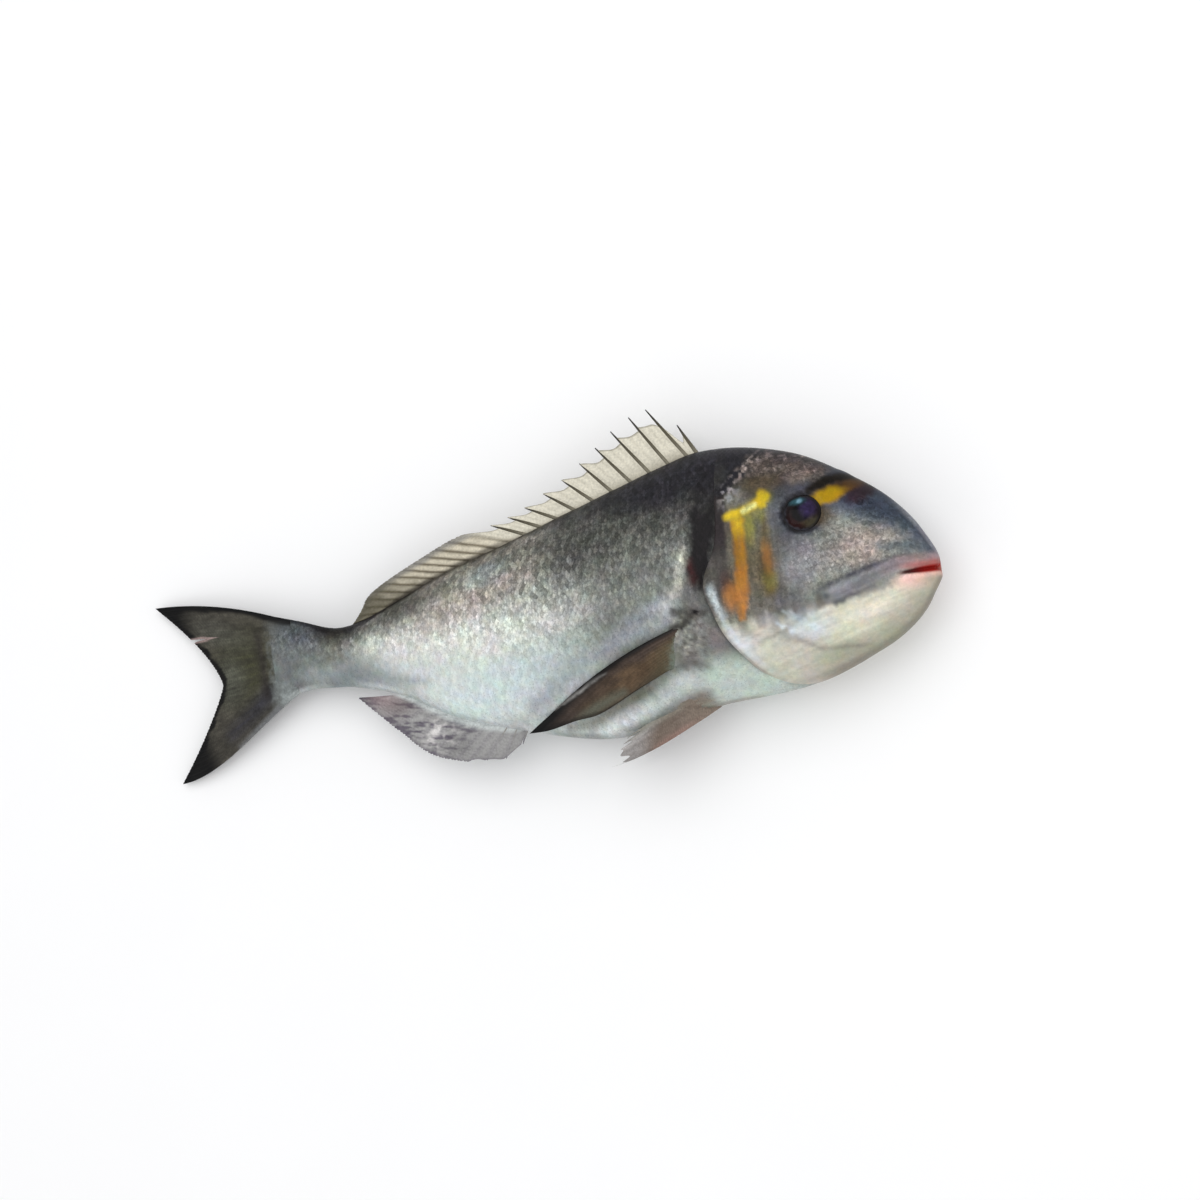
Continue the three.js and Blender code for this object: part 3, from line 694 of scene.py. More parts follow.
def paint_trunk(s, y, h, angle):
    """Dark back, silver flank and pale belly by the relative height h, greyer to both ends, with painted
    shadows along and under the pectoral fin and painted shade on the keel.
    """
    h = h + 0.025 * grain(s / 9, y / 5, 7) + 0.015 * grain(s / 3, y / 2.5, 8)
    p = Paint(FLANK_FRONT, s, y)
    p.lay(FLANK_PEARL, step(s, 116, 180))
    p.spot(FLANK_BLUE, 0.3, (113, -4.5), (12, 5), 0.6, 22)
    p.lay(FLANK_BLUE, 0.4 * fall(h, 0.3, 0.5) * step(s, 120, 150))
    # Painted shadow of the pectoral fin on the flank, along its upper edge.
    p.band(PECTORAL_SHADOW, 0.5, [(118, -8), (140, -17), (162, -29)], [1, 2.5, 3.5], 3.5)
    p.spot(CYAN_SHEEN, 0.4, (178, -20), (34, 9), 0.7, 18)
    p.lay(STALK_GREY, step(s - 24 * (h - 0.4), 212, 250))
    p.band(STALK_LOW, 0.7, [(206, -12), (228, -7), (246, -4)], [1, 2.5, 3.5], 3)
    from_keel = y - belly(s)
    p.lay(BELLY_PALE * 1.1, 0.75 * fall(from_keel, 1.4, 3.8) * bell(s - 224, 12))
    p.spot(STALK_LIGHT, 0.6, (226, 7), (7, 4), 0.8, 10)
    p.lay(STALK_END, step(s, 246, 266) * step(h, 0.1, 0.5))

    start = smooth([(80, 0.5), (110, 0.42), (155, 0.46), (200, 0.5), (276, 0.56)], s)
    end = smooth([
        (80, 0.86), (110, 0.78), (125, 0.8), (145, 0.88), (170, 0.98), (200, 0.95), (240, 0.88),
        (276, 0.98),
    ], s)
    grey = blend(UPPER_GREY, UPPER_GREY_REAR, step(s, 138, 168) * fall(s, 198, 240))
    p.lay(grey, step(h, start, end))
    p.spot(PINK_SHEEN, 0.5, (184, 16), (26, 7), 0.7, 16)
    p.spot(CYAN_SHEEN, 0.3, (175, 25), (9, 4), 0.8, 16)
    dark_line = smooth([(80, 0.80), (110, 0.85), (125, 0.93), (140, 0.99), (165, 1.04), (276, 1.04)], s)
    p.lay(BACK_DARK, step(h, dark_line - 0.09, dark_line + 0.05))
    from_top = back(s) - y
    ragged_top = from_top + 0.5 * grain(s / 1.4, y, 49)
    p.lay(BACK_OLIVE, 0.75 * fall(ragged_top, 0.7, 2.3) * step(s, 120, 150))
    stalk_top = fall(from_top + 0.6 * grain(s / 2, y, 23), 2.2, 5.6) * bell(s - 245, 14)
    p.lay(BACK_DARK, 0.95 * stalk_top)
    line = mix(0.6, 2, step(s, 214, 238)) * (1 - 0.5 * step(s, 252, 264)) + 0.5 * grain(s / 1.6, y, 44)
    p.lay(SLIT_BLACK, 0.95 * fall(from_top, line - 0.4, line + 0.9) * step(s, 196, 216))
    blotch = grain(s / 3.2, y / 2.6, 33) + 0.7 * grain(s / 1.5, y / 1.5, 34)
    p.shade(0.15 * blotch * step(s, 232, 252))
    p.spot(FIN_OLIVE * 1.25, 0.4, (246, 7), (6, 6), 0.7)
    p.spot(SLATE_PALE, 0.55, (264, 16), (9, 4.5), 0.6, -20)
    p.lay(BELLY_PALE * 0.8, 0.7 * fall(from_keel, 0.8, 2.6) * bell(s - 262, 9))
    # Painted shadow, olive-tinted, below the pectoral fin's lower edge.
    p.band(FIN_OLIVE, 0.6, [(104, -24), (120, -31), (136, -38), (150, -39)], [1, 1.8, 2.2, 1.2], 2.6)
    p.band(BELLY_PALE * 1.12, 0.9, [(100, -29), (118, -37), (136, -42.5)], [3, 3, 2.5], 3)
    # Painted shade along the keel, where the belly turns away from the light.
    p.lay(KEEL_SHADE, 0.7 * fall(from_keel, 0.5, 3.2) * step(s, 128, 142) * fall(s, 150, 170))
    paint_shoulder(p, s, y, angle)
    p.tone(TRUNK_TONES)
    return p.colour


def paint_shoulder(p, s, y, angle):
    """The dark band behind the gill cover, the silver streak behind it and the fin's base, with painted
    shade in the gill slit and a painted shadow under the fin's lower root.
    """
    edge = gill_edge(angle)
    p.spot(ISTHMUS, 0.95, (80, -31), (24, 9), 0.6, -4)
    p.band(BASE_GREY, 0.8, [(97, -19), (94, -9), (93, -3)], [5, 6, 4], 4)
    p.spot(BASE_GREY * 1.2, 0.5, (96, -12), (3.5, 3.5), 0.7)
    p.spot(BASE_DARK, 0.5, (93, 0), (7, 5), 0.7)
    p.band(BASE_GREY, 0.85, [(93, -34), (104, -37.5), (114, -42)], [1.5, 2, 1], 3)
    p.band(PELVIC_ROOT, 0.85, [(93, -37), (96, -36), (99, -36)], [1.6, 2.8, 2], 2.6)
    p.lay(PELVIC_ROOT, 0.6 * fall(y - belly(s), 0.3, 1.6) * step(s, 70, 78) * fall(s, 92, 98))
    p.spot(FLANK_BLUE, 0.5, (105, -2), (8, 4.5), 0.7, 30)
    ends = 0.62 * (1 - 0.6 * step(s, 95, 102))
    p.band(SILVER_STREAK, ends, [(92.2, 20.5), (95.5, 9), (101, 1), (108, -5)], [0.9, 1.6, 2.2, 3], 2)
    torn = s + 1.1 * grain(s / 1.3, y / 2.2, 20) + 0.7 * grain(s, y, 24)
    band = [(80, 50), (82, 43), (84, 26), (87, 13), (87.5, 6)]
    band = stripe(torn, y, band, [3, 4.6, 5.6, 4.8, 2.2], 2.4)
    p.lay(SLIT_BLACK, band * (1 - 0.72 * step(y + 3 * grain(s / 2, y / 2, 59), 32, 47)))
    p.band(SLIT_RED, 0.8, [(90.6, 16), (90.2, 8)], [0.8, 1.6], 2.2)
    width = mix(0.5, 1.6, step(angle, -44, -16))
    # Painted shade in the gill slit, just behind the cover's edge.
    p.lay(SLIT_BLACK, 0.75 * np.exp(-np.clip(s - edge, 0, None) / width) * gill_cover(angle))
    p.spot(LIP_GREY, 0.5, (85, -15), (3, 5), 0.7)
    speck = grain(s / 1.2, y / 1.2, 9)
    p.spot(BASE_DARK, 0.65 * step(speck, 0.2, 0.7), (94, -13), (8, 11), 0.5)
    p.spot(SILVER_STREAK, 0.6 * step(-speck, 0.3, 0.8), (96, -12), (5, 8), 0.5)
    notch = stripe(s, y + 0.6 * speck, [(99.2, -2.2), (94, -3.4), (88.2, -4)], [1.5, 2, 1.3], 1.3)
    line = stripe(s, y + 0.4 * speck, [(92.8, -4.4), (95.8, -7.4), (101, -8.4)], [1.5, 1.6, 1.2], 0.9)
    p.lay(FIN_DARK, 0.85 * np.maximum(0.85 * notch, line))
    p.spot(SLIT_BLACK, 1, (91.1, -3.5), (1.1, 0.8), 0.3)
    p.spot(BASE_GREEN, 0.6, (100.2, -17.5), (2, 4.5), 0.6)
    # Painted shadow under the pectoral fin's lower root.
    root_shadow = stripe(s, y + 0.8 * speck, [(103, -23), (96, -21.3), (90.5, -24.2)], [1, 1.8, 1.2], 1.6)
    p.lay(BASE_DARK, 0.6 * root_shadow)


def lean_on(s, y):
    """Height across the streaks of the chin, which run down from the snout to the gills."""
    return y + 0.28 * s


CHIN_LINE = [(12, -4), (20, -5), (34, -8), (44, -8.8), (52, -11), (62, -11.5), (74, -11)]
CROWN_BAND = [(41, 43), (50, 48.5), (62, 50)], [4, 6.5, 5], 2.5


def paint_head(s, y, angle):
    """Slate forehead, speckled crown, grey cheek and pale chin, all with uneven edges, and painted
    highlights on the lower cheek and the forehead's front.
    """
    edge = gill_edge(angle)
    wobble = grain(s / 1.6, y / 2, 1)
    ds = s + 0.7 * wobble + 0.3 * grain(s / 0.8, y / 1.2, 2)
    dy = y + 0.8 * grain(s / 1.5, y / 1.8, 3)
    from_top = back(s) - y

    p = Paint(CHEEK_GREY, ds, dy)
    p.spot(CHEEK_LILAC, 0.8, (50, 12), (7, 12), 0.5)
    p.spot(CHEEK_PINK, 0.6, (25, 12), (10, 6.5), 0.6, 20)
    p.spot(LILAC_PALE, 0.2, (51, 7), (3, 8), 0.6)
    p.lay(OPERCLE_GREY, step(ds, 54, 60))
    p.spot(OPERCLE_PURPLE, 0.35, (53, 20), (6, 9), 0.6)
    p.lay(OPERCLE_PURPLE, step(ds, 73, 76) * step(dy, -3, 2) * mix(0.6, 1, step(y, 12, 20)))
    p.spot(OPERCLE_PURPLE, 0.5, (62, 37), (5, 3), 0.6)

    # The pale underside: cream chin, white throat and a bluish lower cheek with painted highlights.
    chin_line = np.interp(s, *np.transpose(CHIN_LINE)) + 2.4 * grain(s / 1.7, y / 6, 50) * step(s, 42, 50)
    soft = mix(1.6, 5, step(s, 42, 54))
    p.lay(CREAM, fall(dy, chin_line - soft, chin_line + soft))
    p.lay(THROAT, fall(dy, chin_line - soft - 2, chin_line) * step(ds, 38, 62))
    # Painted highlights on the lower cheek: a bluish-white patch, then streaks of shine.
    p.spot(BLUE_WHITE, 0.7, (50, -14.5), (8, 5), 0.6, -8)
    shine = stripe(ds, dy, [(58, -8), (54, -11), (47, -16.5)], [0.7, 1.2, 0.8], 1)
    shine = np.maximum(shine, stripe(ds, dy, [(61, -12), (56, -16)], [0.6, 0.9], 0.9))
    p.lay(BLUE_WHITE * 1.1, 0.75 * shine)
    p.spot(LOW_CHEEK, 0.4, (59, -17), (5, 2.2), 0.7, -20)
    p.spot(BLUE_WHITE, 0.45, (76, -18), (5, 4.5), 0.6)
    p.lay(THROAT * 0.85, 0.85 * fall(y - belly(s), 4, 14) * step(s, 56, 68))
    p.spot(LOW_CHEEK, 0.7, (55, -5.5), (6, 4.5), 0.6, -20)
    p.spot(OLIVE_BROWN, 0.4, (44.5, -6.5), (1.6, 2.4), 0.6)
    p.spot(LILAC_PALE, 0.5, (64, -10.5), (3.5, 2.6), 0.6)
    lean = lean_on(s, y)
    patchy = 0.5 * (1 - 0.5 * step(s, 62, 68)) * step(grain(s / 2.2, lean / 1.4, 37), -0.5, 0.5)
    p.band(LOW_CHEEK, patchy, [(49, -10), (58, -14), (66, -17), (72, -17)], [1.2, 1.8, 1.6, 1], 2.4)
    p.spot(LIP_GREY, 0.35, (71, -15), (5, 2), 0.6, -38)

    chin = fall(dy, chin_line - 3, chin_line)
    mottle = grain(s / 12, lean / 1.3, 15) + 0.8 * grain(s / 7, lean / 0.7, 16)
    p.shade(0.12 * (mottle + 0.5 * grain(s / 2, y / 2, 21)) * chin)

    # Forehead and snout, slate blue, and the speckled crown behind it.
    depth = from_top + wobble - smooth([(0, 3), (6, 5), (14, 9), (22, 13), (30, 15), (40, 13), (84, 13)], s)
    p.lay(SLATE_PALE, fall(depth, -1, 8) * fall(ds, 40, 48))
    p.band(SLATE_PALE, 0.8, [(4, 9), (20, 10.5)], [3, 1.5], 2)
    p.lay(SLATE, fall(depth, -4, 3) * fall(ds, 38, 46))
    # Painted highlight along the top edge of the forehead's front.
    p.lay(LILAC_PALE, 0.35 * fall(from_top, 1, 3.6) * fall(s, 8, 16))
    top_edge = fall(from_top + 0.5 * wobble, 1, 4) * step(s, 12, 24) * fall(s, 30, 44)
    p.lay(SLATE * 0.6, 0.8 * top_edge)
    p.lay(UPPER_HEAD, fall(from_top, 12, 24) * step(ds, 30, 42))
    crown = stripe(ds, dy, *CROWN_BAND)
    p.lay(CROWN, crown)
    p.lay(BACK_DARK, step(ds + 0.75 * (dy - 40), 68, 75) * step(dy, 36, 41))
    p.lay(BACK_DARK, 0.75 * fall(from_top + wobble, 1.5, 6) * step(s, 26, 50))
    flecks = step(grain(s / 1.1, y / 1.1, 12), -0.1, 0.5)
    arc = [(75, 36), (71.5, 43), (64, 50.5), (57, 52.5)]
    p.band(CROWN_FLECK, 0.4 * flecks, arc, [1.6, 1.8, 1.4, 0.8], 1.6)
    p.lay(CROWN_FLECK, 0.24 * crown * step(grain(s / 1.2, y / 1.2, 35), 0.3, 0.8))
    p.spot(UPPER_HEAD, 0.5, (56, 37), (4.5, 3.5), 0.6)
    p.spot(UPPER_GREY, 0.5, (78, 47), (4, 5), 0.6)
    p.spot(LILAC_PALE, 0.35 * flecks, (73, 38), (3.6, 5.5), 0.6, -25)
    p.lay(SLIT_BLACK, 0.35 * fall(edge - s + wobble, 0.5, 5) * step(y, 34, 42))
    paint_eye_ring(p, s, y)
    # The marks on the face have crisper edges, and the last tones plain ones.
    p.s, p.y = mix(s, ds, 0.5), mix(y, dy, 0.5)
    paint_gold(p, s, y)
    paint_mouth(p, s, y)
    paint_plate_edges(p, s, y, angle)
    p.s, p.y = s, y
    p.tone(HEAD_TONES)
    return p.colour


def paint_eye_ring(p, s, y):
    """The dark skin round the eye and ahead of it."""
    eye = np.hypot(s - EYE[0], y - EYE[1])
    p.spot(EYE_RING, 0.8, (47.5, 28.2), (12.5, 11), 0.3)
    p.lay(EYE_RING * 0.5, fall(eye + 1.0 * grain(s / 1.4, y / 1.4, 17), 7.4, 9.6))
    rim_wave = 0.7 * grain(s / 1.3, y / 1.3, 48)
    open_rim = 1 - 0.7 * blob(s, y, (40, 23), (5, 4.5), 0.5)
    p.lay(SLIT_BLACK, open_rim * fall(eye + rim_wave, 6.7, 8.3))
    p.spot(OLIVE_BROWN, 0.6, (39.2, 24.6), (3.2, 3.4), 0.7, 30)
    p.spot(PURPLE_BROWN, 1, (24.5, 32.8), (6.5, 3.6), 0.5, 36)


def paint_gold(p, s, y):
    """The gold bar between the eyes, and the gold and orange marks on the gill cover, with a painted
    highlight on the gold hook.
    """
    brow = [(43.5, 35), (40, 37), (34, 39), (26, 38.8), (21, 35.5)]
    p.band(BROW_DARK * 0.6, 1, brow, [1.2, 1.9, 2, 2, 1.6], 1.1)
    p.spot(BROW_BROWN, 1, (32.4, 34.6), (9, 2.5), 0.4, 12)
    p.spot(BROW_BROWN * 2.2, 0.55, (30.8, 34), (3.4, 1.5), 0.5, 14)
    p.spot(BROW_GOLD, 1, (36.6, 32.5), (6, 2.9), 0.4, 14)
    p.spot(CROWN * 1.6, 0.7, (47, 41.5), (4, 2.6), 0.6, 10)

    p.band(LINE_DARK * 0.7, 0.5, [(56.5, 24), (57.5, 12), (57.5, 0)], [0.6, 1, 0.6], 1.6)
    p.band(OLIVE_BROWN, 0.85, [(60.5, 27), (61.5, 12), (62, 1)], [1, 2.6, 2.8], 2.2)
    p.spot(ORANGE_DEEP, 0.55, (61, 12), (1.9, 5.5), 0.7)
    p.spot(OLIVE_GOLD, 0.75, (66.8, 25), (2.6, 6.5), 0.6)
    p.spot(OLIVE_GOLD, 0.45, (62, 29.5), (2.4, 3.4), 0.7)
    p.spot(OLIVE_BROWN, 0.5, (66, 12), (3.4, 12), 0.6)
    p.spot(OLIVE_GOLD, 0.32, (61.2, 4), (2.4, 4.4), 0.8)
    p.spot(SLIT_RED, 0.4, (77.5, 6.5), (2.4, 4), 0.6)
    p.spot(OPERCLE_PURPLE, 0.5, (77, 29), (3, 8), 0.6)
    p.band(OLIVE_BROWN * 0.8, 0.6, [(70.6, 30), (70.8, 13), (72.8, 1)], [3.4, 3.4, 3.6], 2.2)
    bar = stripe(p.s, p.y, [(70.4, 28), (70.6, 13), (72.4, 1), (73.6, -8)], [2.1, 2, 2.6, 1.2], 1.1)
    bar = np.clip(bar * (0.95 + 0.25 * grain(s / 1.1, y / 2.4, 57)), 0, 1)
    p.lay(blend(ORANGE_DEEP, ORANGE, step(y, -4, 16)), 0.95 * bar)
    p.lay(GOLD, 0.75 * bar * step(y, 19, 27))
    p.spot(ORANGE_DEEP, 0.78, (76.3, 0), (2.8, 4.4), 0.8)
    p.band(OLIVE_GOLD, 0.4, [(59.6, 35.4), (65.5, 31.9), (73, 29.8)], [3, 2.4, 2], 1.5)
    hook = stripe(p.s, p.y, [(59.6, 35.4), (65.5, 31.9), (73.6, 29.8)], [2, 1.2, 1.6], 1)
    p.lay(GOLD, np.maximum(hook, stripe(p.s, p.y, [(60.6, 37.4), (60.6, 32.5)], [1.5, 1.3], 1)))
    # Painted highlight on the gold hook.
    p.band(GOLD_HIGHLIGHT, 1, [(63.5, 33), (68, 31)], [0.9, 0.9], 0.8)
    p.spot(OLIVE_BROWN, 0.5, (61, 41), (7, 3.5), 0.6)

    streaks = grain(s / 0.9, y / 8, 13) + 0.6 * grain(s / 2, y / 12, 14)
    on_cover = step(s, 46, 54) * step(y, -12, -4) * fall(y, 30, 36)
    p.shade(0.2 * streaks * on_cover)


def paint_mouth(p, s, y):
    """The upper jaw with a painted highlight, the lips and the red slit between them."""
    jaw, above = jaw_distance(s, y)
    ahead = fall(s, 4, 18)
    upper_lip = blend(JAW_LILAC, blend(LIP_GREY, LIP_PINK, 0.25 * ahead), fall(s, 12, 26))
    lower_lip = blend(LIP_PALE, LIP_PINK, 0.55 * ahead)
    p.lay(lower_lip, blob(s, y, (5, -3.4), (11.5, 3.4), 0.45, 4))
    p.lay(upper_lip, fall(jaw + 0.5 * grain(s / 1.5, y / 1.5, 25), -1.6, 1) * fall(s, 37, 46))
    lengthwise = grain(s / 7, above / 0.8, 26) + 0.6 * grain(s / 2, above / 1.2, 27)
    p.shade(0.13 * lengthwise * fall(jaw, -0.5, 1))
    # Painted highlight on the upper jaw.
    p.spot(JAW_HIGHLIGHT, 0.5, (36.5, -2.2), (5.5, 1.6), 0.7, 17)
    broken = np.clip(0.8 + 0.5 * grain(s / 1.8, y / 1.8, 47), 0, 1)
    rim = bell(jaw + 0.1, 1.2) * step(above, 0, 2) * (1 - 0.6 * step(s, 40, 43))
    p.lay(JAW_DARK, rim * mix(0.25, 0.95, step(s, 12, 28)) * mix(1, broken, step(s, 24, 34)))
    p.spot(JAW_DARK, 0.9 * broken, (43.6, -3.6), (2.4, 3), 0.7, 30)
    p.band(JAW_DARK, 0.75 * broken, [(39, -8.2), (35, -6.8), (24, -3.6)], [1, 0.7, 0.2], 1.1)
    p.spot(LIP_RED, 0.55, (4.5, 1.4), (7, 1.8), 0.7)
    p.spot(LIP_GREY, 0.5, (3.5, 4.6), (5, 1.6), 0.7)
    mouth, _ = distance_to(s, y, MOUTH_TIP, MOUTH_CORNER)
    slit = fall(mouth, mix(0.8, 0.15, step(s, 3, 14)), mix(1.9, 1, step(s, 3, 14)))
    p.lay(blend(MOUTH_RED, SLIT_RED, step(s, 4, 12)), slit * fall(s, 12, 17))


def paint_plate_edges(p, s, y, angle):
    """The olive underside with painted shade along the chin's lower edge, the lines where the head's plates
    meet, and a painted highlight along the gill cover's rim.
    """
    edge, cover = gill_edge(angle), gill_cover(angle)
    from_keel = y - belly(s)
    chin = fall(s, 40, 62) * fall(y, -4, -1)
    p.lay(CHIN_OLIVE, 0.8 * chin * fall(from_keel, 4, 17))
    # Painted shade along the chin's lower edge.
    p.lay(CHIN_EDGE_SHADE, 0.6 * chin * fall(from_keel, 0.5, 4))
    p.lay(LINE_DARK, 0.4 * bell(cheek_distance(s, y), 1.1) * fall(y, -21, -17) * step(s, 26, 34))
    # Painted highlight along the gill cover's rim.
    rim_highlight = bell(edge - s - 2.6 + 0.5 * grain(s, y / 2, 58), 1.5) * cover * fall(y, 2, 8)
    p.lay(BLUE_WHITE, 0.7 * rim_highlight * mix(0.35, 1, step(y, -28, -14)))
    p.lay(LINE_DARK, 0.5 * bell(edge - s, 0.8) * cover * fall(y, 2, 12))


SHEEN_TINT = np.array([0.03, -0.025, 0.035])


def paint_body(grid):
    """Colour and finish of the body: speckle, roughness and silver of each mesh point."""
    s, y, angle, trunk = grid["s"], grid["y"], grid["angle"], grid["trunk"]
    h = (y - belly(s)) / (back(s) - belly(s))
    colour = np.where(trunk[..., None], paint_trunk(s, y, h, angle), paint_head(s, y, angle))
    inner = grid["fold"] & trunk
    colour = np.where((inner * gill_cover(angle))[..., None] > 0.5, SLIT_RED, colour)
    on_trunk = mix(0.2, 0.85, step(h, 0.3, 0.8)) * (1 - 0.25 * step(s, 150, 200))
    crown = stripe(s, y, *CROWN_BAND)
    cheek = blob(s, y, (30, 12), (18, 12), 0.5, 10)
    above_chin = step(y + 0.15 * s, -3, 6)
    jaw, _ = jaw_distance(s, y)
    on_head = 0.14 + 0.4 * above_chin + 0.6 * crown + 0.4 * cheek
    on_head = on_head * (1 - 0.5 * fall(jaw, -1, 1))
    speckle = np.where(trunk, on_trunk, on_head)
    vivid = 1 - colour.min(-1) / colour.max(-1)
    speckle = speckle * (1 - 0.6 * step(vivid, 0.6, 0.9))
    sheen = grain(s / 6, y / 4.5, 32) + 0.6 * grain(s / 2.2, y / 1.8, 36)
    colour = colour * (1 + sheen[..., None] * SHEEN_TINT)
    pale = np.where(trunk, fall(h, 0.5, 0.85), 0.3)
    rough = mix(0.42, 0.3, pale)
    return colour, np.stack([speckle, rough, 0.3 * pale], -1)


# ---------------------------------------------------------------- fins

def wrap(x):
    """Distance to the nearest whole number."""
    return np.abs(x - np.round(x))


def rays(u, v, width, split):
    """Ridges of fin rays at whole u. With split 1 each ray forks twice on its way to the edge."""
    first, second = 0.24 * split * step(v, 0.3, 1), 0.11 * split * step(v, 0.6, 1.05)
    thin = width * (1 - 0.45 * split * v)
    ridge = np.zeros(np.broadcast(u, v).shape)
    for a in (-1, 1):
        for b in (-1, 1):
            ridge = np.maximum(ridge, bell(wrap(u + a * first + b * second), thin))
    return ridge


def blade(columns, rows, place, thickness):
    """Points and faces of a closed blade, and u, v, s and y of each point.

    place(u, v) is its middle surface, as s, y and z.
    """
    u, v = np.meshgrid(columns, rows, indexing="ij")
    s, y, z = place(u, v)
    half = thickness(u, v) / 2
    points = np.concatenate([np.stack([-s, y, z + k * half], -1).reshape(-1, 3) for k in (1, -1)])
    n, m = u.shape
    index = np.arange(n * m).reshape(n, m)
    a = index[:-1, :-1].ravel()
    top = np.stack([a, a + m, a + m + 1, a + 1], -1)
    under = top[:, ::-1] + n * m
    rim = np.concatenate([index[0], index[1:, -1], index[-1, -2::-1], index[-2:0:-1, 0]])
    after = np.roll(rim, -1)
    sides = np.stack([rim, after, after + n * m, rim + n * m], -1)
    both = [np.tile(values.ravel(), 2) for values in (u, v, s, y)]
    return points, np.concatenate([top, under, sides]).tolist(), both


def tube(path, radii, sides=10):
    """Points and faces of a round spine along a path of points."""
    run = np.gradient(path, axis=0)
    run /= np.linalg.norm(run, axis=1)[:, None]
    across = np.cross(run, [0, 0, 1])
    across /= np.linalg.norm(across, axis=1)[:, None]
    up = np.cross(across, run)
    turn = np.linspace(0, 2 * np.pi, sides, endpoint=False)
    ring = across[:, None] * np.cos(turn)[None, :, None] + up[:, None] * np.sin(turn)[None, :, None]
    points = (path[:, None] + ring * radii[:, None, None]).reshape(-1, 3)
    ends = [list(range(sides))[::-1], list(range(len(points) - sides, len(points)))]
    return points, ring_faces(len(path), sides).tolist() + ends


class Shape:
    """Collects the points, faces, colours and finishes of one piece's mesh."""

    def __init__(self):
        self.points, self.faces, self.colour, self.pattern, self.finish = [], [], [], [], []
        self.count = 0

    def add(self, points, faces, colour, pattern, finish):
        """pattern drives the material's fine pattern; finish is speckle, roughness and silver."""
        size = len(points)
        self.points.append(points)
        self.faces += [[k + self.count for k in face] for face in faces]
        self.colour.append(np.broadcast_to(colour, (size, 3)))
        self.pattern.append(np.broadcast_to(pattern, (size, 3)))
        self.finish.append(np.broadcast_to(finish, (size, 3)))
        self.count += size

    def add_sheet(self, last, span, sizes, place, thickness, ridges, paint, reach, finish):
        """A fin's membrane. u runs over the span as far as the last ray, and v from root to edge.

        place(u, v), thickness(u, v) and ridges(u, v) shape it, paint(u, v, s, y, ridge) colours
        it, and reach(u) is the length in millimetres that the joints of its rays are counted on.
        """
        columns, rows = sizes
        columns = np.linspace(0, span, last * columns + 1)
        points, faces, (u, v, s, y) = blade(columns, np.linspace(0, 1, rows), place, thickness)
        ridge = ridges(u, v)
        pattern = np.stack([u * (last / span), reach(u) * v, ridge], -1)
        self.add(points, faces, paint(u, v, s, y, ridge), pattern, finish)


WEB_CREAM = srgb(218, 213, 196)
WEB_SHADE = srgb(176, 170, 152)
SPINE_OLIVE = srgb(84, 79, 64)
SPINE_TIP = srgb(44, 42, 40)
SOFT_WEB = srgb(204, 196, 176)
SOFT_RAY = srgb(100, 91, 72)
SOFT_RIM = srgb(120, 119, 116)
SOFT_REAR = srgb(82, 78, 62)
ANAL_MAUVE = srgb(146, 145, 144)
ANAL_STREAK = srgb(100, 94, 106)
ANAL_PINK = srgb(152, 133, 134)
CAUDAL_BASE = srgb(100, 102, 104)
CAUDAL_DARK = srgb(46, 42, 40)
CAUDAL_OLIVE = srgb(66, 66, 48)
CAUDAL_BROWN = srgb(70, 67, 60)
CAUDAL_GREY = srgb(88, 90, 82)
CAUDAL_PURPLE = srgb(46, 46, 56)
FIN_BLACK = srgb(6, 6, 7)
SPLIT_PINK = srgb(196, 170, 166)
PECTORAL_BROWN = srgb(92, 74, 56)
PECTORAL_OLIVE = srgb(70, 62, 50)
PECTORAL_GREEN = srgb(86, 78, 58)
PECTORAL_MOSS = srgb(94, 96, 84)
PECTORAL_PURPLE = srgb(66, 57, 54)
PELVIC_BROWN = srgb(116, 103, 93)
PELVIC_EDGE = srgb(142, 140, 128)
PELVIC_PINK = srgb(150, 122, 112)
PELVIC_LILAC = srgb(148, 144, 142)
WISP_WHITE = srgb(214, 210, 208)


def median_place(fin, base, away):
    """Place and reach of a fin that stands on the back or belly line, its rays leaning tailwards."""
    def place(u, along):
        s = smooth(fin["station"], u) if "station" in fin else fin["first"] + fin["spacing"] * u
        lean = np.radians(smooth(fin["lean"], u))
        station = s + along * np.cos(lean)
        return station, base(s) + away * along * np.sin(lean), mid_height(station)
    return place


def web_reach(fin, u):
    """How far out the membrane reaches: between spines it sags, and their points stand free."""
    share = u - np.floor(u)
    between = smooth(fin["web"], share) + smooth(fin["web_rise"], u) * step(share, 0.2, 1)
    between = between - fin["first_gap"] * bell(u - 0.45, 0.4)
    return smooth(fin["length"], u) * np.where(u < fin["spines"] - 0.001, between, 1)


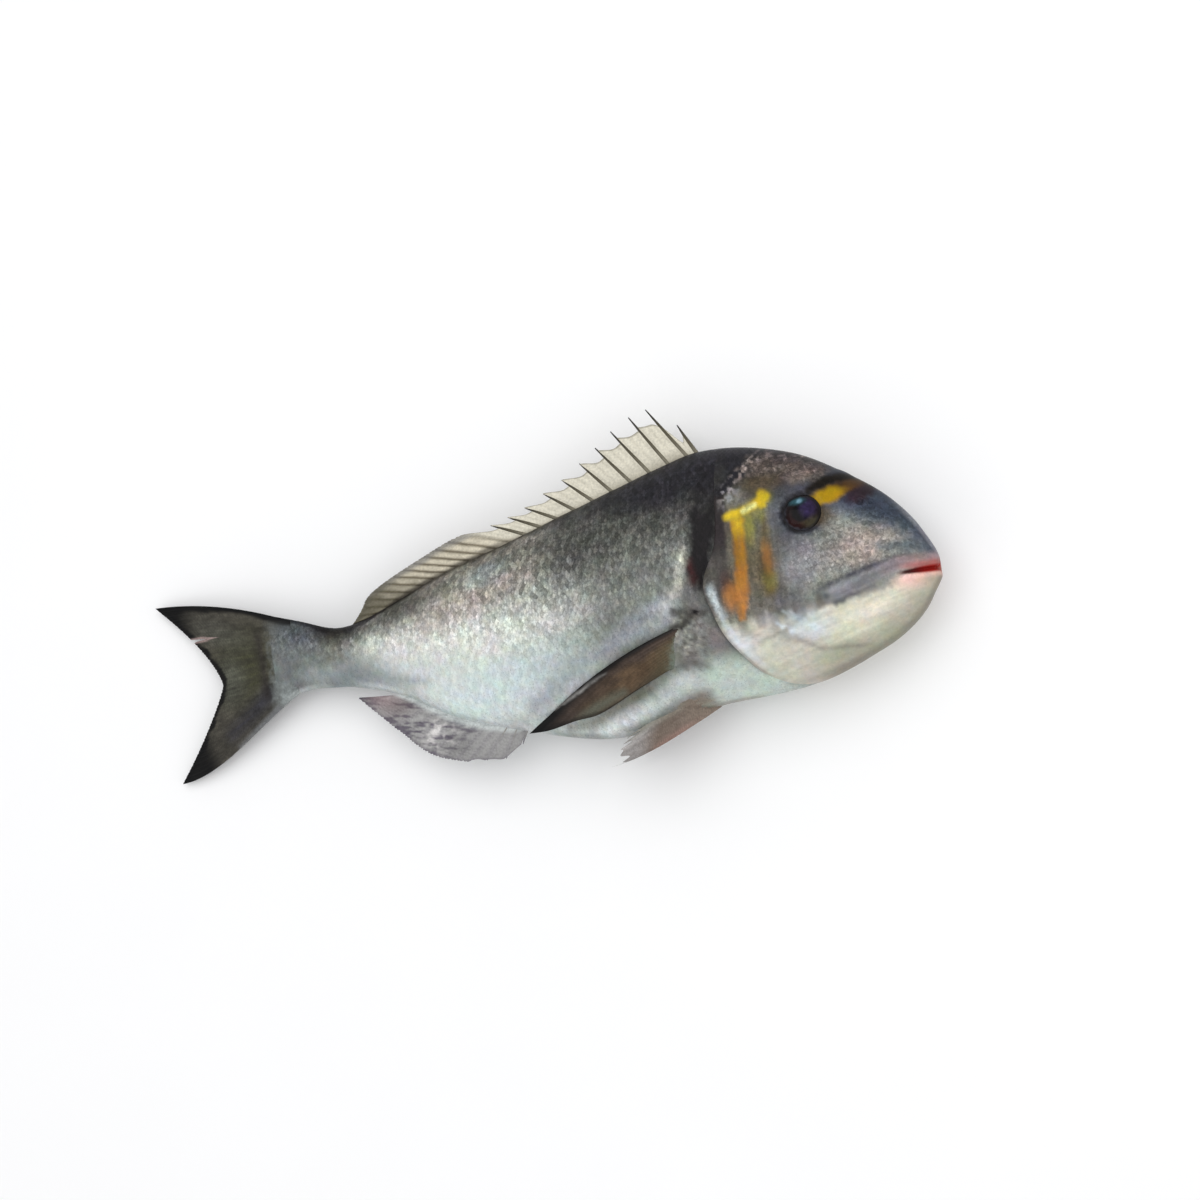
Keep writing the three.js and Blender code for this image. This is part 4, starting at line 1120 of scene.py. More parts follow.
def median_fin(fin, base, away, paint, spine_colours):
    """A fin of the back or belly: a membrane with soft rays behind, and spines ahead of them."""
    shape = Shape()
    place = median_place(fin, base, away)

    def soft(u):
        return step(u, fin["spines"] - 0.6, fin["spines"] + 0.4)

    def ridges(u, v):
        return rays(u, v, 0.13, 1) * soft(u)

    def web(u, v):
        edge = 1 + 0.035 * soft(u) * (rays(u, v, 0.2, 1) - 0.5) * (v > 0.9)
        return place(u, mix(-ROOT_DEPTH, reach(u) * edge, v))

    def thickness(u, v):
        return mix(1, 0.45, v) + mix(0.7, 0.3, v) * ridges(u, v)

    def reach(u):
        return web_reach(fin, u)

    last = fin["last"]
    shape.add_sheet(last, last, MEDIAN_MESH, web, thickness, ridges, paint, reach, (0.25, 0.42, 0))
    v = np.linspace(0, 1, SPINE_RINGS)
    radii = fin["spine_radius"] * (1 - SPINE_TAPER * v * v)
    for k in range(fin["spines"]):
        along = mix(-ROOT_DEPTH, smooth(fin["length"], k) - TIP_TRIM, v)
        s, y, z = place(np.full_like(v, k), along)
        path = np.stack([-s + SPINE_BEND * v * v, y + away * SPINE_BOW * v * (1 - v), z], -1)
        points, faces = tube(path, radii)
        tip = np.repeat(v, len(points) // len(v))
        colour = blend(*spine_colours, step(tip, 0.5, 1))
        colour = blend(colour, WEB_SHADE, 0.35 * bell(tip - 0.1, 0.25))
        shape.add(points, faces, colour, pattern=(0, 0, 1), finish=(0.3, 0.35, 0))
    return shape


def paint_dorsal(u, v, s, y, ridge):
    """A cream membrane between the spines, and striped soft rays with a dark rear end."""
    p = Paint(WEB_CREAM, s, y)
    p.lay(WEB_SHADE, fall(v, 0.05, 0.45))
    p.lay(WEB_SHADE, 0.35 * bell(wrap(3 * u + 0.5), 0.2) * step(v, 0.2, 0.5))
    p.shade(0.08 * grain(u * 2.5, v * 5, 42))
    p.lay(SPINE_OLIVE, 0.55 * step(v, 0.955, 0.985))
    blotch = grain(u * 1.3, v * 5, 51) + 0.7 * grain(u * 3, v * 9, 52)
    soft = Paint(SOFT_WEB, s, y)
    soft.lay(SOFT_RAY, 0.9 * bell(wrap(u + 0.05 * blotch), 0.2))
    soft.lay(SOFT_RIM, 0.8 * step(v + 0.06 * blotch, 0.72, 0.95))
    soft.lay(SOFT_REAR, 0.85 * step(u + 1.2 * blotch, 15.5, 20.5))
    soft.shade(0.15 * blotch)
    p.lay(soft.colour, step(u, 10.4, 11.4))
    p.lay(BACK_OLIVE, 0.8 * fall(v + 0.05 * blotch, 0.16, 0.34) * step(u, 8, 14))
    return p.colour


ANAL_TONES = [
    (-0.3, (223, -20), (6, 3), 0), (0.2, (209, -32), (5, 4), 0), (-0.22, (199.5, -39), (5, 3.5), 0),
    (0.1, (182, -38), (9, 5), 0),
]


def paint_anal(u, v, s, y, ridge):
    """Grey and plain ahead, and streaked along the body behind."""
    lean = y - 0.18 * s
    along = grain(s / 6, lean / 1.2, 4) + 0.6 * grain(s / 2.2, lean / 0.8, 31)
    rear = step(u, 2.5, 6)
    p = Paint(ANAL_MAUVE, s, y)
    p.lay(ANAL_STREAK, 0.22 * bell(wrap(u), 0.22))
    p.lay(ANAL_STREAK, 0.85 * step(along, 0, 0.7) * rear)
    p.lay(ANAL_PINK, 0.7 * step(u, 9.5, 12.5) * bell(v - 0.6, 0.35))
    p.lay(BELLY_PALE, 0.8 * fall(v, 0.16, 0.34))
    wisps = step(grain(s / 1.6, y / 1.3, 5), 0.1, 0.7) * blob(s, y, (206, -33), (7, 6), 0.6)
    wisps = np.maximum(wisps, blob(s, y, (208.5, -32.3), (1.9, 1.6), 0.5))
    p.lay(WISP_WHITE, 0.6 * wisps)
    p.shade(-mix(0.04, 0.2, rear) * along)
    p.lay(ANAL_STREAK, 0.4 * step(v, 0.93, 0.99))
    p.lay(ANAL_STREAK * 0.5, 0.7 * step(s, 233, 239))
    p.tone(ANAL_TONES)
    return p.colour


# The tear in the tail fin: the ray it lies at, its half width in rays and its share of the length.
SPLIT_AT = 3.55
SPLIT_HALF = 0.14
SPLIT_DEPTH = 0.15


def caudal_place(u, v):
    """Middle surface of the forked tail fin. u counts its rays from the top one."""
    across = u / CAUDAL["last"]
    root_y, tip_y = mix(*CAUDAL["root"], across), mix(*CAUDAL["tip"], across)
    fork_s, fork_y = CAUDAL["fork"]
    upper = tip_y > fork_y
    lobe = np.where(upper, CAUDAL["tip"][0] - fork_y, fork_y - CAUDAL["tip"][1])
    from_fork = np.abs(tip_y - fork_y) / lobe
    above, below = [reach * from_fork ** curve for reach, curve in CAUDAL["lobes"]]
    reach = np.where(upper, above, below)
    split = SPLIT_DEPTH * np.clip(1 - np.abs(u - SPLIT_AT) / SPLIT_HALF, 0, 1)
    ragged = 0.012 * (rays(u, v, 0.22, 1) - 0.6) * step(v, 0.85, 1) * step(from_fork, 0, 0.2)
    v = v * (1 - split) + ragged * (1 - from_fork)
    station = mix(CAUDAL["root_station"], fork_s + reach, v)
    arch = mix(4, 6.75 * v, across) * v * (1 - v)
    y = mix(root_y, tip_y, v) + mix(*CAUDAL["bow"], across) * arch
    wave = 0.5 * np.sin(across * 9 + 2.2 * v) * step(v, 0.3, 1)
    return station, y, np.maximum(mid_height(station) + wave, CAUDAL["floor_gap"])


def caudal_fin():
    """The tail fin, which thickens into the stalk and has a stout ray along each edge."""
    shape = Shape()

    def ridges(u, v):
        return rays(u, v, 0.15, 1) * step(v, 0.22, 0.4)

    def thickness(u, v):
        plain = mix(3.3, 1, step(v, 0.12, 0.5)) - 0.45 * step(v, 0.5, 1)
        edge = np.minimum(u, CAUDAL["last"] - u)
        plain = plain * mix(0.45, 1, step(edge, 0, 0.8)) + 0.35 * bell(edge - 0.5, 0.4)
        return plain + 0.55 * ridges(u, v)

    def reach(u):
        return CAUDAL["length"]

    last = CAUDAL["last"]
    shape.add_sheet(last, last, CAUDAL_MESH, caudal_place, thickness, ridges, paint_caudal, reach,
                    (0.35, 0.45, 0))
    return shape


def paint_caudal(u, v, s, y, ridge):
    """Olive brown with black edges. The silver of the stalk runs into its root."""
    p = Paint(CAUDAL_BROWN, s, y)
    p.spot(CAUDAL_OLIVE, 1, (290, 6), (14, 15), 0.7)
    p.spot(CAUDAL_GREY, 0.6, (298, 2), (7, 9), 0.7)
    p.spot(CAUDAL_GREY, 0.35, (300, 22), (14, 5), 0.7, -25)
    p.band(CAUDAL_PURPLE, 0.8, [(280, -6), (300, -20)], [4, 2.5], 4)
    p.band(CAUDAL_DARK, 0.8, [(282, 18), (281, -6)], [2, 2], 2.5)
    patches = grain(s / 4, y / 3, 28) + 0.9 * grain(s / 1.6, y / 1.2, 29) + 0.5 * grain(s / 8, y / 0.9, 45)
    p.shade(0.24 * patches)
    on_stalk = np.minimum(s, BODY_LENGTH)
    h = np.clip((y - belly(on_stalk)) / (back(on_stalk) - belly(on_stalk)), 0, 1)
    stalk = paint_trunk(on_stalk, y, h, 0 * s)
    torn = s + 0.25 * np.clip(-8 - y, 0, 9) + 1.4 * grain(s / 1.6, y / 2.4, 11) + 0.8 * grain(s, y, 46)
    p.lay(stalk, fall(torn, 273, 280))
    p.band(CAUDAL_BASE * 1.4, 0.8, [(276, -12.8), (297, -25.4)], [1.5, 0.8], 1.4)
    p.lay(CAUDAL_BROWN * 0.7, 0.35 * (1 - ridge) * step(v, 0.35, 0.55))
    top_edge = step(y - mix(20, 32, step(s, 262, 300)), -1.2, 0.8) * fall(s, 300, 310)
    p.lay(FIN_BLACK, 0.8 * top_edge * step(u, -1, 0) * fall(u, 1, 2.5))
    rough = 0.03 * grain(u * 1.5, v * 20, 10)
    p.lay(FIN_BLACK, 0.95 * step(v + rough, 0.92, 0.97))
    p.lay(FIN_BLACK, 0.95 * fall(u + 8 * rough, 0.3, 1.1))
    back_edge = s + 30 * rough
    p.lay(FIN_BLACK, 0.95 * step(back_edge, 308, 320) * step(y, 10, 20))
    p.lay(FIN_BLACK, 0.97 * step(back_edge - 0.4 * (y + 30), 302, 315) * fall(y, -22, -14))
    near_split = fall(np.abs(u - SPLIT_AT), SPLIT_HALF, 0.35) * step(v, 0.82, 0.9)
    p.lay(SPLIT_PINK, 0.5 * near_split)
    return p.colour


def paired_place(fin, side):
    """Middle surface of a fin that lies back along its flank, and runs straight on past it."""
    def place(u, v):
        between_rays = 0.5 - 0.5 * np.cos(2 * np.pi * u * (fin["rays"] - 1))
        uneven = 1 + 0.7 * np.sin(7 * u + 1)
        v = v * (1 - fin["fray"] * uneven * between_rays * step(v, 0.55, 1))
        root_s = mix(fin["root_top"][0], fin["root_bottom"][0], u)
        root_y = mix(fin["root_top"][1], fin["root_bottom"][1], u)
        s = mix(root_s, smooth(fin["tip_station"], u), v)
        bow = mix(fin["bow"], -fin["low_bow"], u)
        y = mix(root_y, smooth(fin["tip_height"], u), v) + bow * 4 * v * (1 - v)
        y = y if side > 0 else y + LEFT_RISE
        clearance = fin["keel_clearance"] * step(v, 0, FIN_LIFT_END)
        on_skin = flank_height(s, np.maximum(y, belly(s) + clearance), side)
        lift = mix(-fin["root_sink"], fin["stand_off"] * mix(fin["hug"], 1, u), step(v, 0, FIN_LIFT_END))
        z = on_skin + side * lift - fin["sag"] * v * v
        return s, y, np.maximum(z, FLOOR_CLEARANCE)
    return place


def paired_fin(fin, side, paint):
    """A fin of one flank, with a membrane that thins towards its edge between raised rays."""
    shape = Shape()
    last = fin["rays"] - 1

    def ridges(u, v):
        return rays(u * last, v, 0.2, 0.5)

    def thickness(u, v):
        plain = fin["thickness"] * mix(1, 0.45, v) * mix(0.6, 1, step(np.minimum(u, 1 - u), 0, 0.08))
        return plain + 0.35 * ridges(u, v) * mix(1, 0.6, v) * step(v, 0.02, 0.16)

    def reach(u):
        return PAIRED_LENGTH

    place = paired_place(fin, side)
    shape.add_sheet(last, 1, PAIRED_MESH, place, thickness, ridges, paint, reach, (0.3, 0.4, 0))
    return shape


def paint_pectoral(u, v, s, y, ridge):
    """Brown and olive, with a green root, black edges, painted shade along the lower edge and a paler
    stripe along the middle.
    """
    p = Paint(PECTORAL_BROWN, s, y)
    p.lay(PECTORAL_OLIVE, step(u, 0.5, 0.9))
    p.lay(PECTORAL_PURPLE, 0.8 * fall(u + 0.1 * grain(u * 6, v * 12, 43), 0.12, 0.42))
    p.lay(PECTORAL_BROWN * 0.45, 0.2 * (1 - ridge))
    streaks = grain(s / 3.5 + u * 3, y / 2.4, 38) + 0.7 * grain(s / 1.8, u * 14, 39)
    blotch = grain(s / 4, y / 3, 53) + 0.8 * grain(s / 1.5, y / 1.3, 54)
    p.shade(0.17 * streaks + 0.17 * blotch)
    p.lay(FIN_BLACK, 0.3 * step(s, 118, 138))
    p.lay(FIN_BLACK, mix(0.8, 0.92, step(s, 100, 116)) * fall(u, 0.03, 0.14))
    p.lay(FIN_BLACK, 0.9 * step(s, 148, 161))
    moss = 0.85 * step(u, 0.2, 0.4)
    p.band(PECTORAL_MOSS, moss, [(124, -29), (138, -33.6), (153, -36)], [1.2, 2, 1.6], 2.4)
    gap = [(129, -20.8), (134, -23), (142, -26.4), (153, -31)]
    gap = stripe(s, y + 0.4 * blotch, gap, [0, 0.6, 0.6, 0], 0.8)
    p.lay(BASE_GREY, np.clip(0.6 + 0.3 * blotch, 0, 1) * gap)
    p.lay(FIN_BLACK, 0.6 * step(v, 0.93, 0.98))
    # Painted shade along the fin's lower edge.
    p.lay(FIN_BLACK, 0.4 * step(u, 0.86, 0.98) * (1 - 0.6 * step(s, 118, 130)))
    root = smooth([(-23, 104.2), (-15.2, 101.9), (-10.8, 98.6), (-7.2, 96.2)], y)
    behind_root = s - root + 0.8 * grain(s / 1.4, y / 1.4, 6) + 0.5 * grain(s, y, 41)
    p.lay(PECTORAL_GREEN, 0.7 * step(u, 0.1, 0.4) * fall(behind_root, 1, 11))
    p.lay(BASE_GREEN * 0.9, fall(behind_root, -1.5, 2.6) * step(u, 0.12, 0.3))
    return p.colour


def paint_pelvic(u, v, s, y, ridge):
    """Brown and pink at the root, lilac with white wisps towards the tip."""
    p = Paint(PELVIC_BROWN, s, y)
    p.lay(PELVIC_PINK, step(u, 0.6, 0.95) * fall(v, 0.5, 0.8))
    p.lay(PELVIC_LILAC, step(v - 0.2 * u, 0.45, 0.75))
    p.lay(PELVIC_BROWN * 0.7, 0.22 * (1 - ridge))
    p.lay(WISP_WHITE, 0.5 * step(v, 0.65, 0.95) * step(grain(u * 8, v * 3, 18), -0.1, 0.6))
    p.shade(0.12 * (grain(u * 7, v * 4, 30) + 0.7 * grain(u * 14, v * 10, 40)))
    p.lay(PELVIC_EDGE, 0.7 * fall(u, 0, 0.4) * step(v, 0.15, 0.4))
    from_root = v + 0.1 * (u - 0.5) + 0.08 * grain(u * 6, v * 8, 19)
    p.lay(PELVIC_ROOT, 0.9 * fall(from_root, 0.05, 0.4))
    return p.colour


# ---------------------------------------------------------------- eyes

PUPIL = srgb(10, 8, 10)
BLUE_REFLECTION = srgb(52, 42, 76)
IRIS_BROWN = srgb(28, 20, 20)
IRIS_RED = srgb(38, 12, 12)
IRIS_OLIVE = srgb(62, 58, 40)
TEAL_REFLECTION = srgb(44, 76, 84)
EYE_SHINE = srgb(120, 158, 176)


def eye_shape(side):
    """A flattened ball set in the skin and tilted with it."""
    s0, y0 = EYE
    z0 = flank_height(s0, y0, side)
    slope_s = (flank_height(s0 + 3, y0, side) - flank_height(s0 - 3, y0, side)) / 6
    slope_y = (flank_height(s0, y0 + 3, side) - flank_height(s0, y0 - 3, side)) / 6
    out = np.linspace(0, 1, EYE_RINGS + 1)[1:]
    turn = np.linspace(0, 2 * np.pi, EYE_COLUMNS, endpoint=False)
    r, turn = np.meshgrid(out, turn, indexing="ij")
    a, b = EYE_RADIUS * r * np.cos(turn), EYE_RADIUS * r * np.sin(turn)
    cornea = 0.5 * bell(r, 0.5)
    dome = EYE_BULGE * np.sqrt(np.clip(1 - (0.985 * r) ** 2, 0, 1)) - EYE_SINK + cornea
    z = z0 + 0.9 * (a * slope_s + b * slope_y) + side * dome
    points = np.stack([-(s0 + a), y0 + b, z], -1).reshape(-1, 3)
    ends = [list(range(EYE_COLUMNS)), list(range(len(points) - EYE_COLUMNS, len(points)))[::-1]]
    faces = ring_faces(EYE_RINGS, EYE_COLUMNS).tolist() + ends
    shape = Shape()
    colour = paint_eye(a.ravel(), b.ravel(), EYE_RADIUS * r.ravel())
    shape.add(points, faces, colour, pattern=0, finish=(0, 0.12, 0))
    return shape


def paint_eye(a, b, radius):
    """A black pupil in a brown iris, with painted blue and teal reflections and a painted glint, by the
    place before and above its middle.
    """
    mottle = grain(a / 1.1, b / 1.1, 55) + 0.7 * grain(a / 0.6, b / 0.6, 56)
    p = Paint(IRIS_BROWN, a, b)
    p.spot(IRIS_RED, 0.8, (1.8, -3.2), (4.6, 2.8), 0.6)
    p.spot(IRIS_OLIVE, 0.75, (-3.6, -4.2), (3.8, 2.4), 0.7, -25)
    p.lay(PUPIL, fall(np.hypot(a - 0.3, b + 0.2), 2.6, 4))
    # Painted reflections on the cornea: a blue one over the pupil, a teal one at the top and a small bright
    # glint in it.
    p.spot(BLUE_REFLECTION, 0.8, (-2.4, 1.4), (2.6, 3.2), 0.7)
    p.lay(TEAL_REFLECTION, blob(a, b + 0.3 * mottle, (1.5, 4.6), (3, 1.5), 0.6))
    p.lay(EYE_SHINE, 0.8 * blob(a, b + 0.2 * mottle, (0.4, 4.6), (0.9, 0.8), 0.7))
    p.shade(0.3 * mottle)
    rim = step(radius + 0.4 * mottle, 5.6, 6.7)
    p.lay(SLIT_BLACK, 0.8 * rim * step(b - a, -6, -1))
    p.lay(EYE_RING * 0.6, 0.7 * rim * fall(b - a, -6, -1))
    return p.colour


# ---------------------------------------------------------------- materials

class Value:
    """An output of a shader node. Adding, subtracting and multiplying it makes math nodes."""

    def __init__(self, nodes, socket):
        self.nodes, self.socket = nodes, socket

    def __add__(self, other):
        return self.nodes.math("ADD", self, other)

    def __sub__(self, other):
        return self.nodes.math("SUBTRACT", self, other)

    def __rsub__(self, other):
        return self.nodes.math("SUBTRACT", other, self)

    def __mul__(self, other):
        return self.nodes.math("MULTIPLY", self, other)

    __radd__, __rmul__ = __add__, __mul__


class Nodes:
    """A material's node tree, with short calls to add to it."""

    def __init__(self, name):
        self.material = bpy.data.materials.new(name)
        self.material.use_nodes = True
        self.tree = self.material.node_tree
        self.shader = self.tree.nodes["Principled BSDF"]

    def fill(self, node, values):
        """Fills a node's inputs, by number or by name, with values or plain numbers."""
        for key, value in values.items():
            if isinstance(value, Value):
                self.tree.links.new(value.socket, node.inputs[key])
            else:
                node.inputs[key].default_value = value

    def node(self, kind, values, **settings):
        """A new node with its settings made and its inputs filled."""
        node = self.tree.nodes.new(kind)
        for name, setting in settings.items():
            setattr(node, name, setting)
        self.fill(node, values)
        return node

    def add(self, kind, values, output=0, **settings):
        """One output of a new node."""
        return Value(self, self.node(kind, values, **settings).outputs[output])

    def math(self, operation, a, b=0.0):
        return self.add("ShaderNodeMath", {0: a, 1: b}, operation=operation)

    def place(self, value, low, high):
        """The value's place between low and high, from 0 to 1."""
        return self.add("ShaderNodeMapRange", {0: value, 1: low, 2: high})

    def vector(self, name):
        """The three numbers of a mesh attribute."""
        source = self.add("ShaderNodeAttribute", {}, "Vector", attribute_name=name)
        split = self.node("ShaderNodeSeparateXYZ", {0: source})
        return [Value(self, socket) for socket in split.outputs]

    def texture(self, kind, size, output, **values):
        """A texture whose blotches are about size millimetres wide."""
        where = self.add("ShaderNodeTexCoord", {}, "Object")
        return self.add(kind, {"Vector": where, "Scale": 1 / (size * MM), **values}, output)

    def noise(self, size, detail=2.0, roughness=0.5):
        """Soft noise from 0 to 1."""
        return self.texture("ShaderNodeTexNoise", size, 0, Detail=detail, Roughness=roughness)

    def cells(self, size):
        """A random value for each of the uneven cells of a texture."""
        return self.add("ShaderNodeSeparateColor", {0: self.texture("ShaderNodeTexVoronoi", size, "Color")})

    def paint(self, factor, warm=0.0):
        """The painted colour times a factor, with more red and less blue where it is warm."""
        source = self.add("ShaderNodeAttribute", {}, "Color", attribute_name="paint")
        red, blue = factor * (1.0 + warm), factor * (1.0 - warm)
        tint = self.add("ShaderNodeCombineColor", {0: red, 1: factor, 2: blue})
        values = {0: 1.0, 6: source, 7: tint}
        return self.add("ShaderNodeMix", values, 2, data_type="RGBA", blend_type="MULTIPLY")

    def bump(self, height, distance, strength, **normal):
        """Relief of a height times a distance in millimetres, over an earlier Normal if given."""
        values = {"Height": height, "Distance": distance * MM, "Strength": strength, **normal}
        return self.add("ShaderNodeBump", values)

    def finish(self, colour, roughness, normal, specular, coat=0.0, coat_roughness=0.0):
        """The material, with its shader filled."""
        self.fill(self.shader, {
            "Base Color": colour, "Roughness": roughness, "Normal": normal, "Specular IOR Level": specular,
            "Coat Weight": coat, "Coat Roughness": coat_roughness,
        })
        return self.material


def scale_row(n, u, v, row):
    """How far ahead of a scale's rear edge a point lies in a row, and the scale's random value."""
    off = v - row
    arc = SCALE_ARC * n.math("SQRT", n.math("MAXIMUM", 1.0 - off * off, 0.0))
    phase = arc + 0.5 * n.math("FLOORED_MODULO", row, 2.0) - u
    seed = n.add("ShaderNodeCombineXYZ", {0: n.math("FLOOR", phase), 1: row})
    random = n.add("ShaderNodeTexWhiteNoise", {"Vector": seed}, noise_dimensions="2D")
    return n.math("FRACT", phase), random


def scale_pattern(n, u, v):
    """The same for the shingled scales of the mesh, where the nearer edge of two rows counts."""
    row = n.math("FLOOR", v)
    ahead, random = scale_row(n, u, v, row)
    other_ahead, other_random = scale_row(n, u, v, row + 1.0)
    nearer = n.math("LESS_THAN", other_ahead, ahead)
    return n.math("MINIMUM", other_ahead, ahead), other_random * nearer + random * (1.0 - nearer)


def skin_material():
    """Each scale is a little lighter or darker, and bare skin has flecks of the same size."""
    n = Nodes("skin")
    u, v, cover = n.vector("pattern")
    speckle, rough, silver = n.vector("finish")
    ahead, random = scale_pattern(n, u, v)
    edge, root = 1.0 - n.place(ahead, 0.0, 0.2), n.place(ahead, 0.25, 0.55)
    fine = n.noise(0.75, 3.0, 0.6)
    scaly = random * 1.5 - 0.6 - edge * 0.7 - root * 0.35
    vary = scaly * cover + (n.cells(1.3) - 0.5) * 1.1 + (fine - 0.5) * 2.6 + (n.noise(4.0) - 0.5) * 0.8
    colour = n.paint(n.math("POWER", 2.0, vary * speckle), (n.noise(3.0) - 0.5) * 0.2)

    scales = n.bump((1.0 - n.place(ahead, 0.0, SCALE_ARC)) * cover, 0.1, 0.5)
    bumpy = n.bump(fine, 0.1, 0.35, Normal=scales)
    normal = n.bump(n.noise(0.25), 0.03, 0.4, Normal=bumpy)
    n.fill(n.shader, {"Metallic": silver})
    rough = rough + (fine - 0.5) * 0.2
    return n.finish(colour, rough, normal, specular=0.12, coat=0.06, coat_roughness=0.1)


def fin_material():
    """Rays with fine joints, and a speckled membrane."""
    n = Nodes("fin")
    _, out, ridge = n.vector("pattern")
    speckle, rough, _ = n.vector("finish")
    joints = n.math("SINE", out * 5.2) * ridge * 0.12
    colour = n.paint(1.0 + (n.noise(0.9, 3.0, 0.6) - 0.5) * (speckle * 3.2) + joints)
    normal = n.bump(joints * 2.0 + n.noise(0.6), 0.08, 0.5)
    return n.finish(colour, rough, normal, specular=0.12, coat=0.05, coat_roughness=0.15)


def eye_material():
    """A dull wet ball."""
    n = Nodes("eye")
    colour = n.paint(0.8 + n.noise(0.7) * 0.4)
    normal = n.bump(n.noise(1.5, 1.0), 0.01, 0.1)
    return n.finish(colour, 0.3, normal, specular=0.05, coat=0.12, coat_roughness=0.06)


def floor_material():
    """Nearly white and matt."""
    n = Nodes("floor")
    tone = 0.95 + n.noise(60, 3.0) * 0.02
    colour = n.add("ShaderNodeCombineColor", {0: tone, 1: tone, 2: tone})
    return n.finish(colour, 0.6, n.bump(n.noise(2.0), 0.02, 0.1), specular=0.5)


# ---------------------------------------------------------------- camera, light and floor

# The photo's camera, turned by these degrees from straight above the flank. Lengths are in mm.
CAMERA_YAW = 15.0
CAMERA_PITCH = 5.0
CAMERA_ROLL = -8.163
CAMERA_DISTANCE = 900.0
CAMERA_TARGET = (30.69, -2.28, 15.8)
CAMERA_LENS = 68.85
CAMERA_SENSOR = 36.0


def make_camera():
    """The scene's camera, at its place in front of the fish."""
    yaw, pitch, roll = map(math.radians, (CAMERA_YAW, CAMERA_PITCH, CAMERA_ROLL))
    behind = Vector((math.sin(yaw) * math.cos(pitch), -math.sin(pitch), math.cos(yaw) * math.cos(pitch)))
    level = Vector((0, 1, 0)).cross(behind).normalized()
    upright = behind.cross(level)
    right = level * math.cos(roll) + upright * math.sin(roll)
    up = upright * math.cos(roll) - level * math.sin(roll)
    data = bpy.data.cameras.new("camera")
    data.lens, data.sensor_width = CAMERA_LENS, CAMERA_SENSOR
    camera = bpy.data.objects.new("camera", data)
    turn = Matrix((right, up, behind)).transposed().to_4x4()
    camera.matrix_world = Matrix.Translation((Vector(CAMERA_TARGET) + behind * CAMERA_DISTANCE) * MM) @ turn
    bpy.context.scene.collection.objects.link(camera)
    bpy.context.scene.camera = camera


# Square soft lamps that face the fish: name, place in metres, width in metres, power in watts.
LAMPS = [
    ("key", (0.05, 0.5, 1.25), 1.4, 8.5),
    ("fill", (-0.75, -0.75, 0.7), 1.2, 2.5),
    ("front", (0.95, -0.3, 0.7), 1, 2.5),
]
LAMP_AIM = (0.02, 0, 0.02)
WORLD_TONE = (0.98, 0.985, 1, 1)
WORLD_STRENGTH = 0.6
# Half width and height of the floor in metres.
FLOOR_HALF = 3.0
FLOOR_TOP = -0.0003


def make_surroundings():
    """White lamps, a nearly white sky and a nearly white floor just below the fish."""
    scene = bpy.context.scene
    for name, place, size, power in LAMPS:
        data = bpy.data.lights.new(name, "AREA")
        data.size, data.energy = size, power
        light = bpy.data.objects.new(name, data)
        light.location = place
        light.rotation_euler = (Vector(LAMP_AIM) - Vector(place)).to_track_quat("-Z", "Y").to_euler()
        scene.collection.objects.link(light)
    scene.world = bpy.data.worlds.new("world")
    scene.world.use_nodes = True
    sky = scene.world.node_tree.nodes["Background"]
    sky.inputs["Color"].default_value = WORLD_TONE
    sky.inputs["Strength"].default_value = WORLD_STRENGTH
    mesh = bpy.data.meshes.new("floor")
    square = ((-1, -1), (1, -1), (1, 1), (-1, 1))
    mesh.from_pydata([(x * FLOOR_HALF, y * FLOOR_HALF, FLOOR_TOP) for x, y in square], [], [(0, 1, 2, 3)])
    mesh.materials.append(floor_material())
    floor = bpy.data.objects.new("floor", mesh)
    scene.collection.objects.link(floor)


# ---------------------------------------------------------------- the pieces

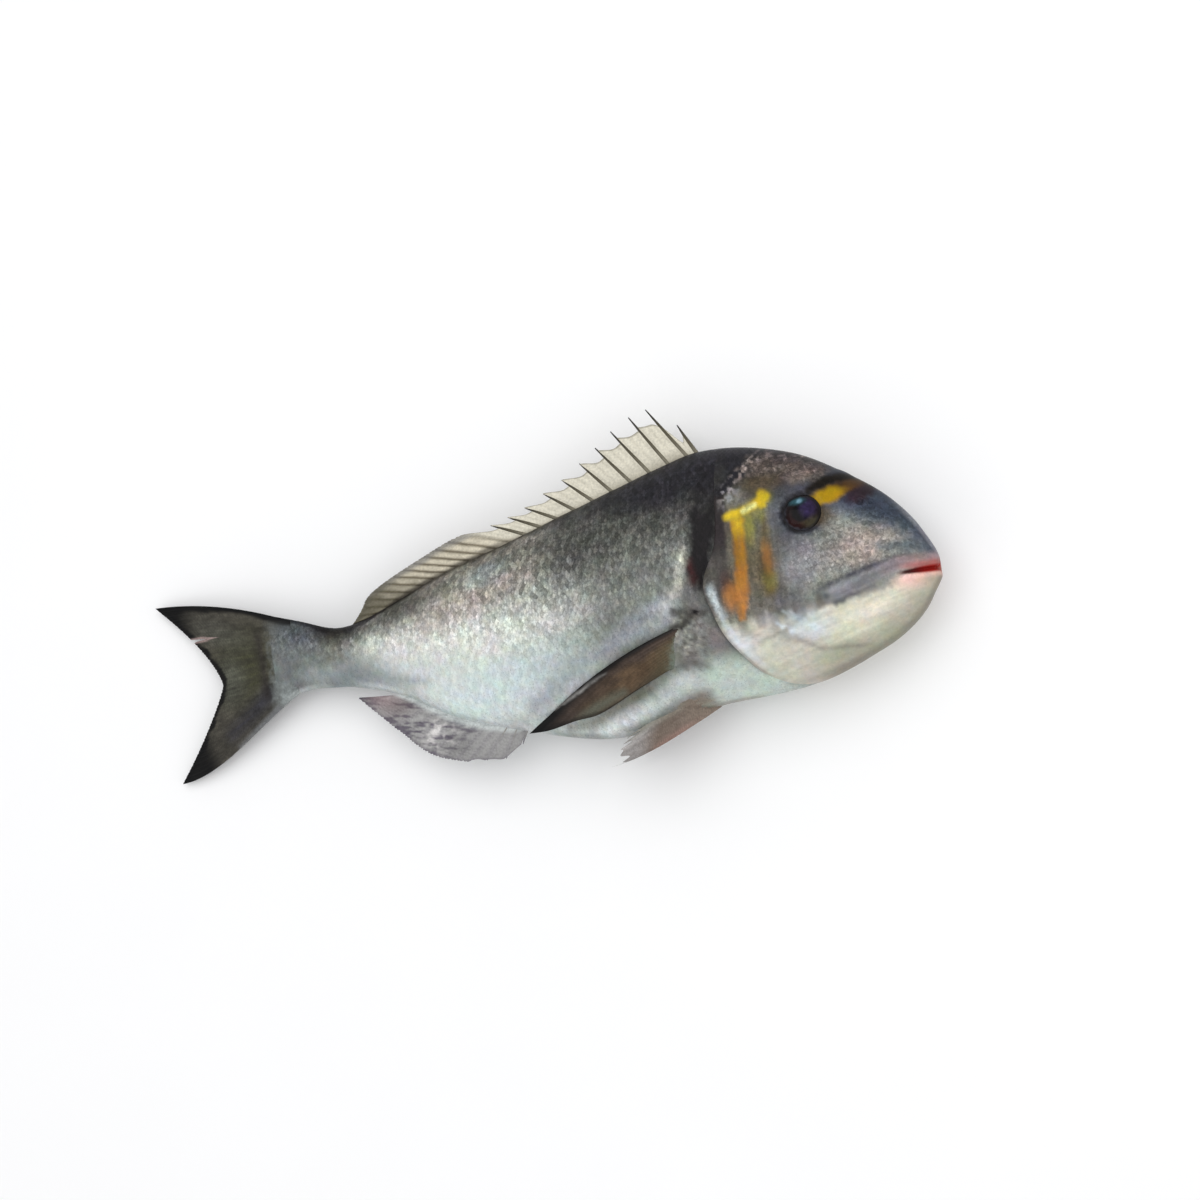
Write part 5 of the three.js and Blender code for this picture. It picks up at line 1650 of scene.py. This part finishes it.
def body_shape():
    """The body's skin, from the snout to the tail stalk."""
    grid = body_grid()
    rings, columns = grid["s"].shape
    colour, finish = paint_body(grid)
    pattern = np.stack([grid["u"], grid["v"], grid["cover"]], -1)
    shape = Shape()
    lists = [values.reshape(-1, 3) for values in (grid["points"], colour, pattern, finish)]
    shape.add(lists[0], body_faces(rings, columns), *lists[1:])
    return shape


def make_piece(name, shape, move, material):
    """A piece of the fish with its painted attributes, moved to its place in the frame."""
    mesh = bpy.data.meshes.new(name)
    points = (np.concatenate(shape.points) + move) * MM
    mesh.from_pydata(points.tolist(), [], shape.faces)
    paint = np.concatenate(shape.colour)
    paint = np.column_stack([paint, np.ones(len(paint))])
    mesh.color_attributes.new("paint", "FLOAT_COLOR", "POINT").data.foreach_set("color", paint.ravel())
    for key in ("pattern", "finish"):
        values = np.concatenate(getattr(shape, key))
        mesh.attributes.new(key, "FLOAT_VECTOR", "POINT").data.foreach_set("vector", values.ravel())
    mesh.polygons.foreach_set("use_smooth", [True] * len(mesh.polygons))
    mesh.materials.append(material)
    mesh.update()
    piece = bpy.data.objects.new(name, mesh)
    bpy.context.scene.collection.objects.link(piece)
    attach(piece, "root")
    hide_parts("fish")


make_camera()
bpy.context.scene.view_settings.view_transform = "Standard"

skin, fin, eye = skin_material(), fin_material(), eye_material()
shapes = {
    "fish_body": (body_shape(), skin),
    "dorsal_fin": (median_fin(DORSAL, back, 1, paint_dorsal, (SPINE_OLIVE, SPINE_TIP)), fin),
    "anal_fin": (median_fin(ANAL, belly, -1, paint_anal, (ANAL_MAUVE, ANAL_STREAK)), fin),
    "caudal_fin": (caudal_fin(), fin),
}
for side, word in ((1, "right"), (-1, "left")):
    shapes[f"pectoral_{word}"] = (paired_fin(PECTORAL, side, paint_pectoral), fin)
    shapes[f"pelvic_{word}"] = (paired_fin(PELVIC, side, paint_pelvic), fin)
    shapes[f"eye_{word}"] = (eye_shape(side), eye)

# The fish goes where the CAD has it: its snout at the box's end, its outline in the middle.
move = np.array([cad_high.x / MM, (cad_low.y + cad_high.y) / 2 / MM - OUTLINE_MIDDLE, cad_low.z / MM])
for name, (shape, material) in shapes.items():
    make_piece(name, shape, move, material)
make_surroundings()
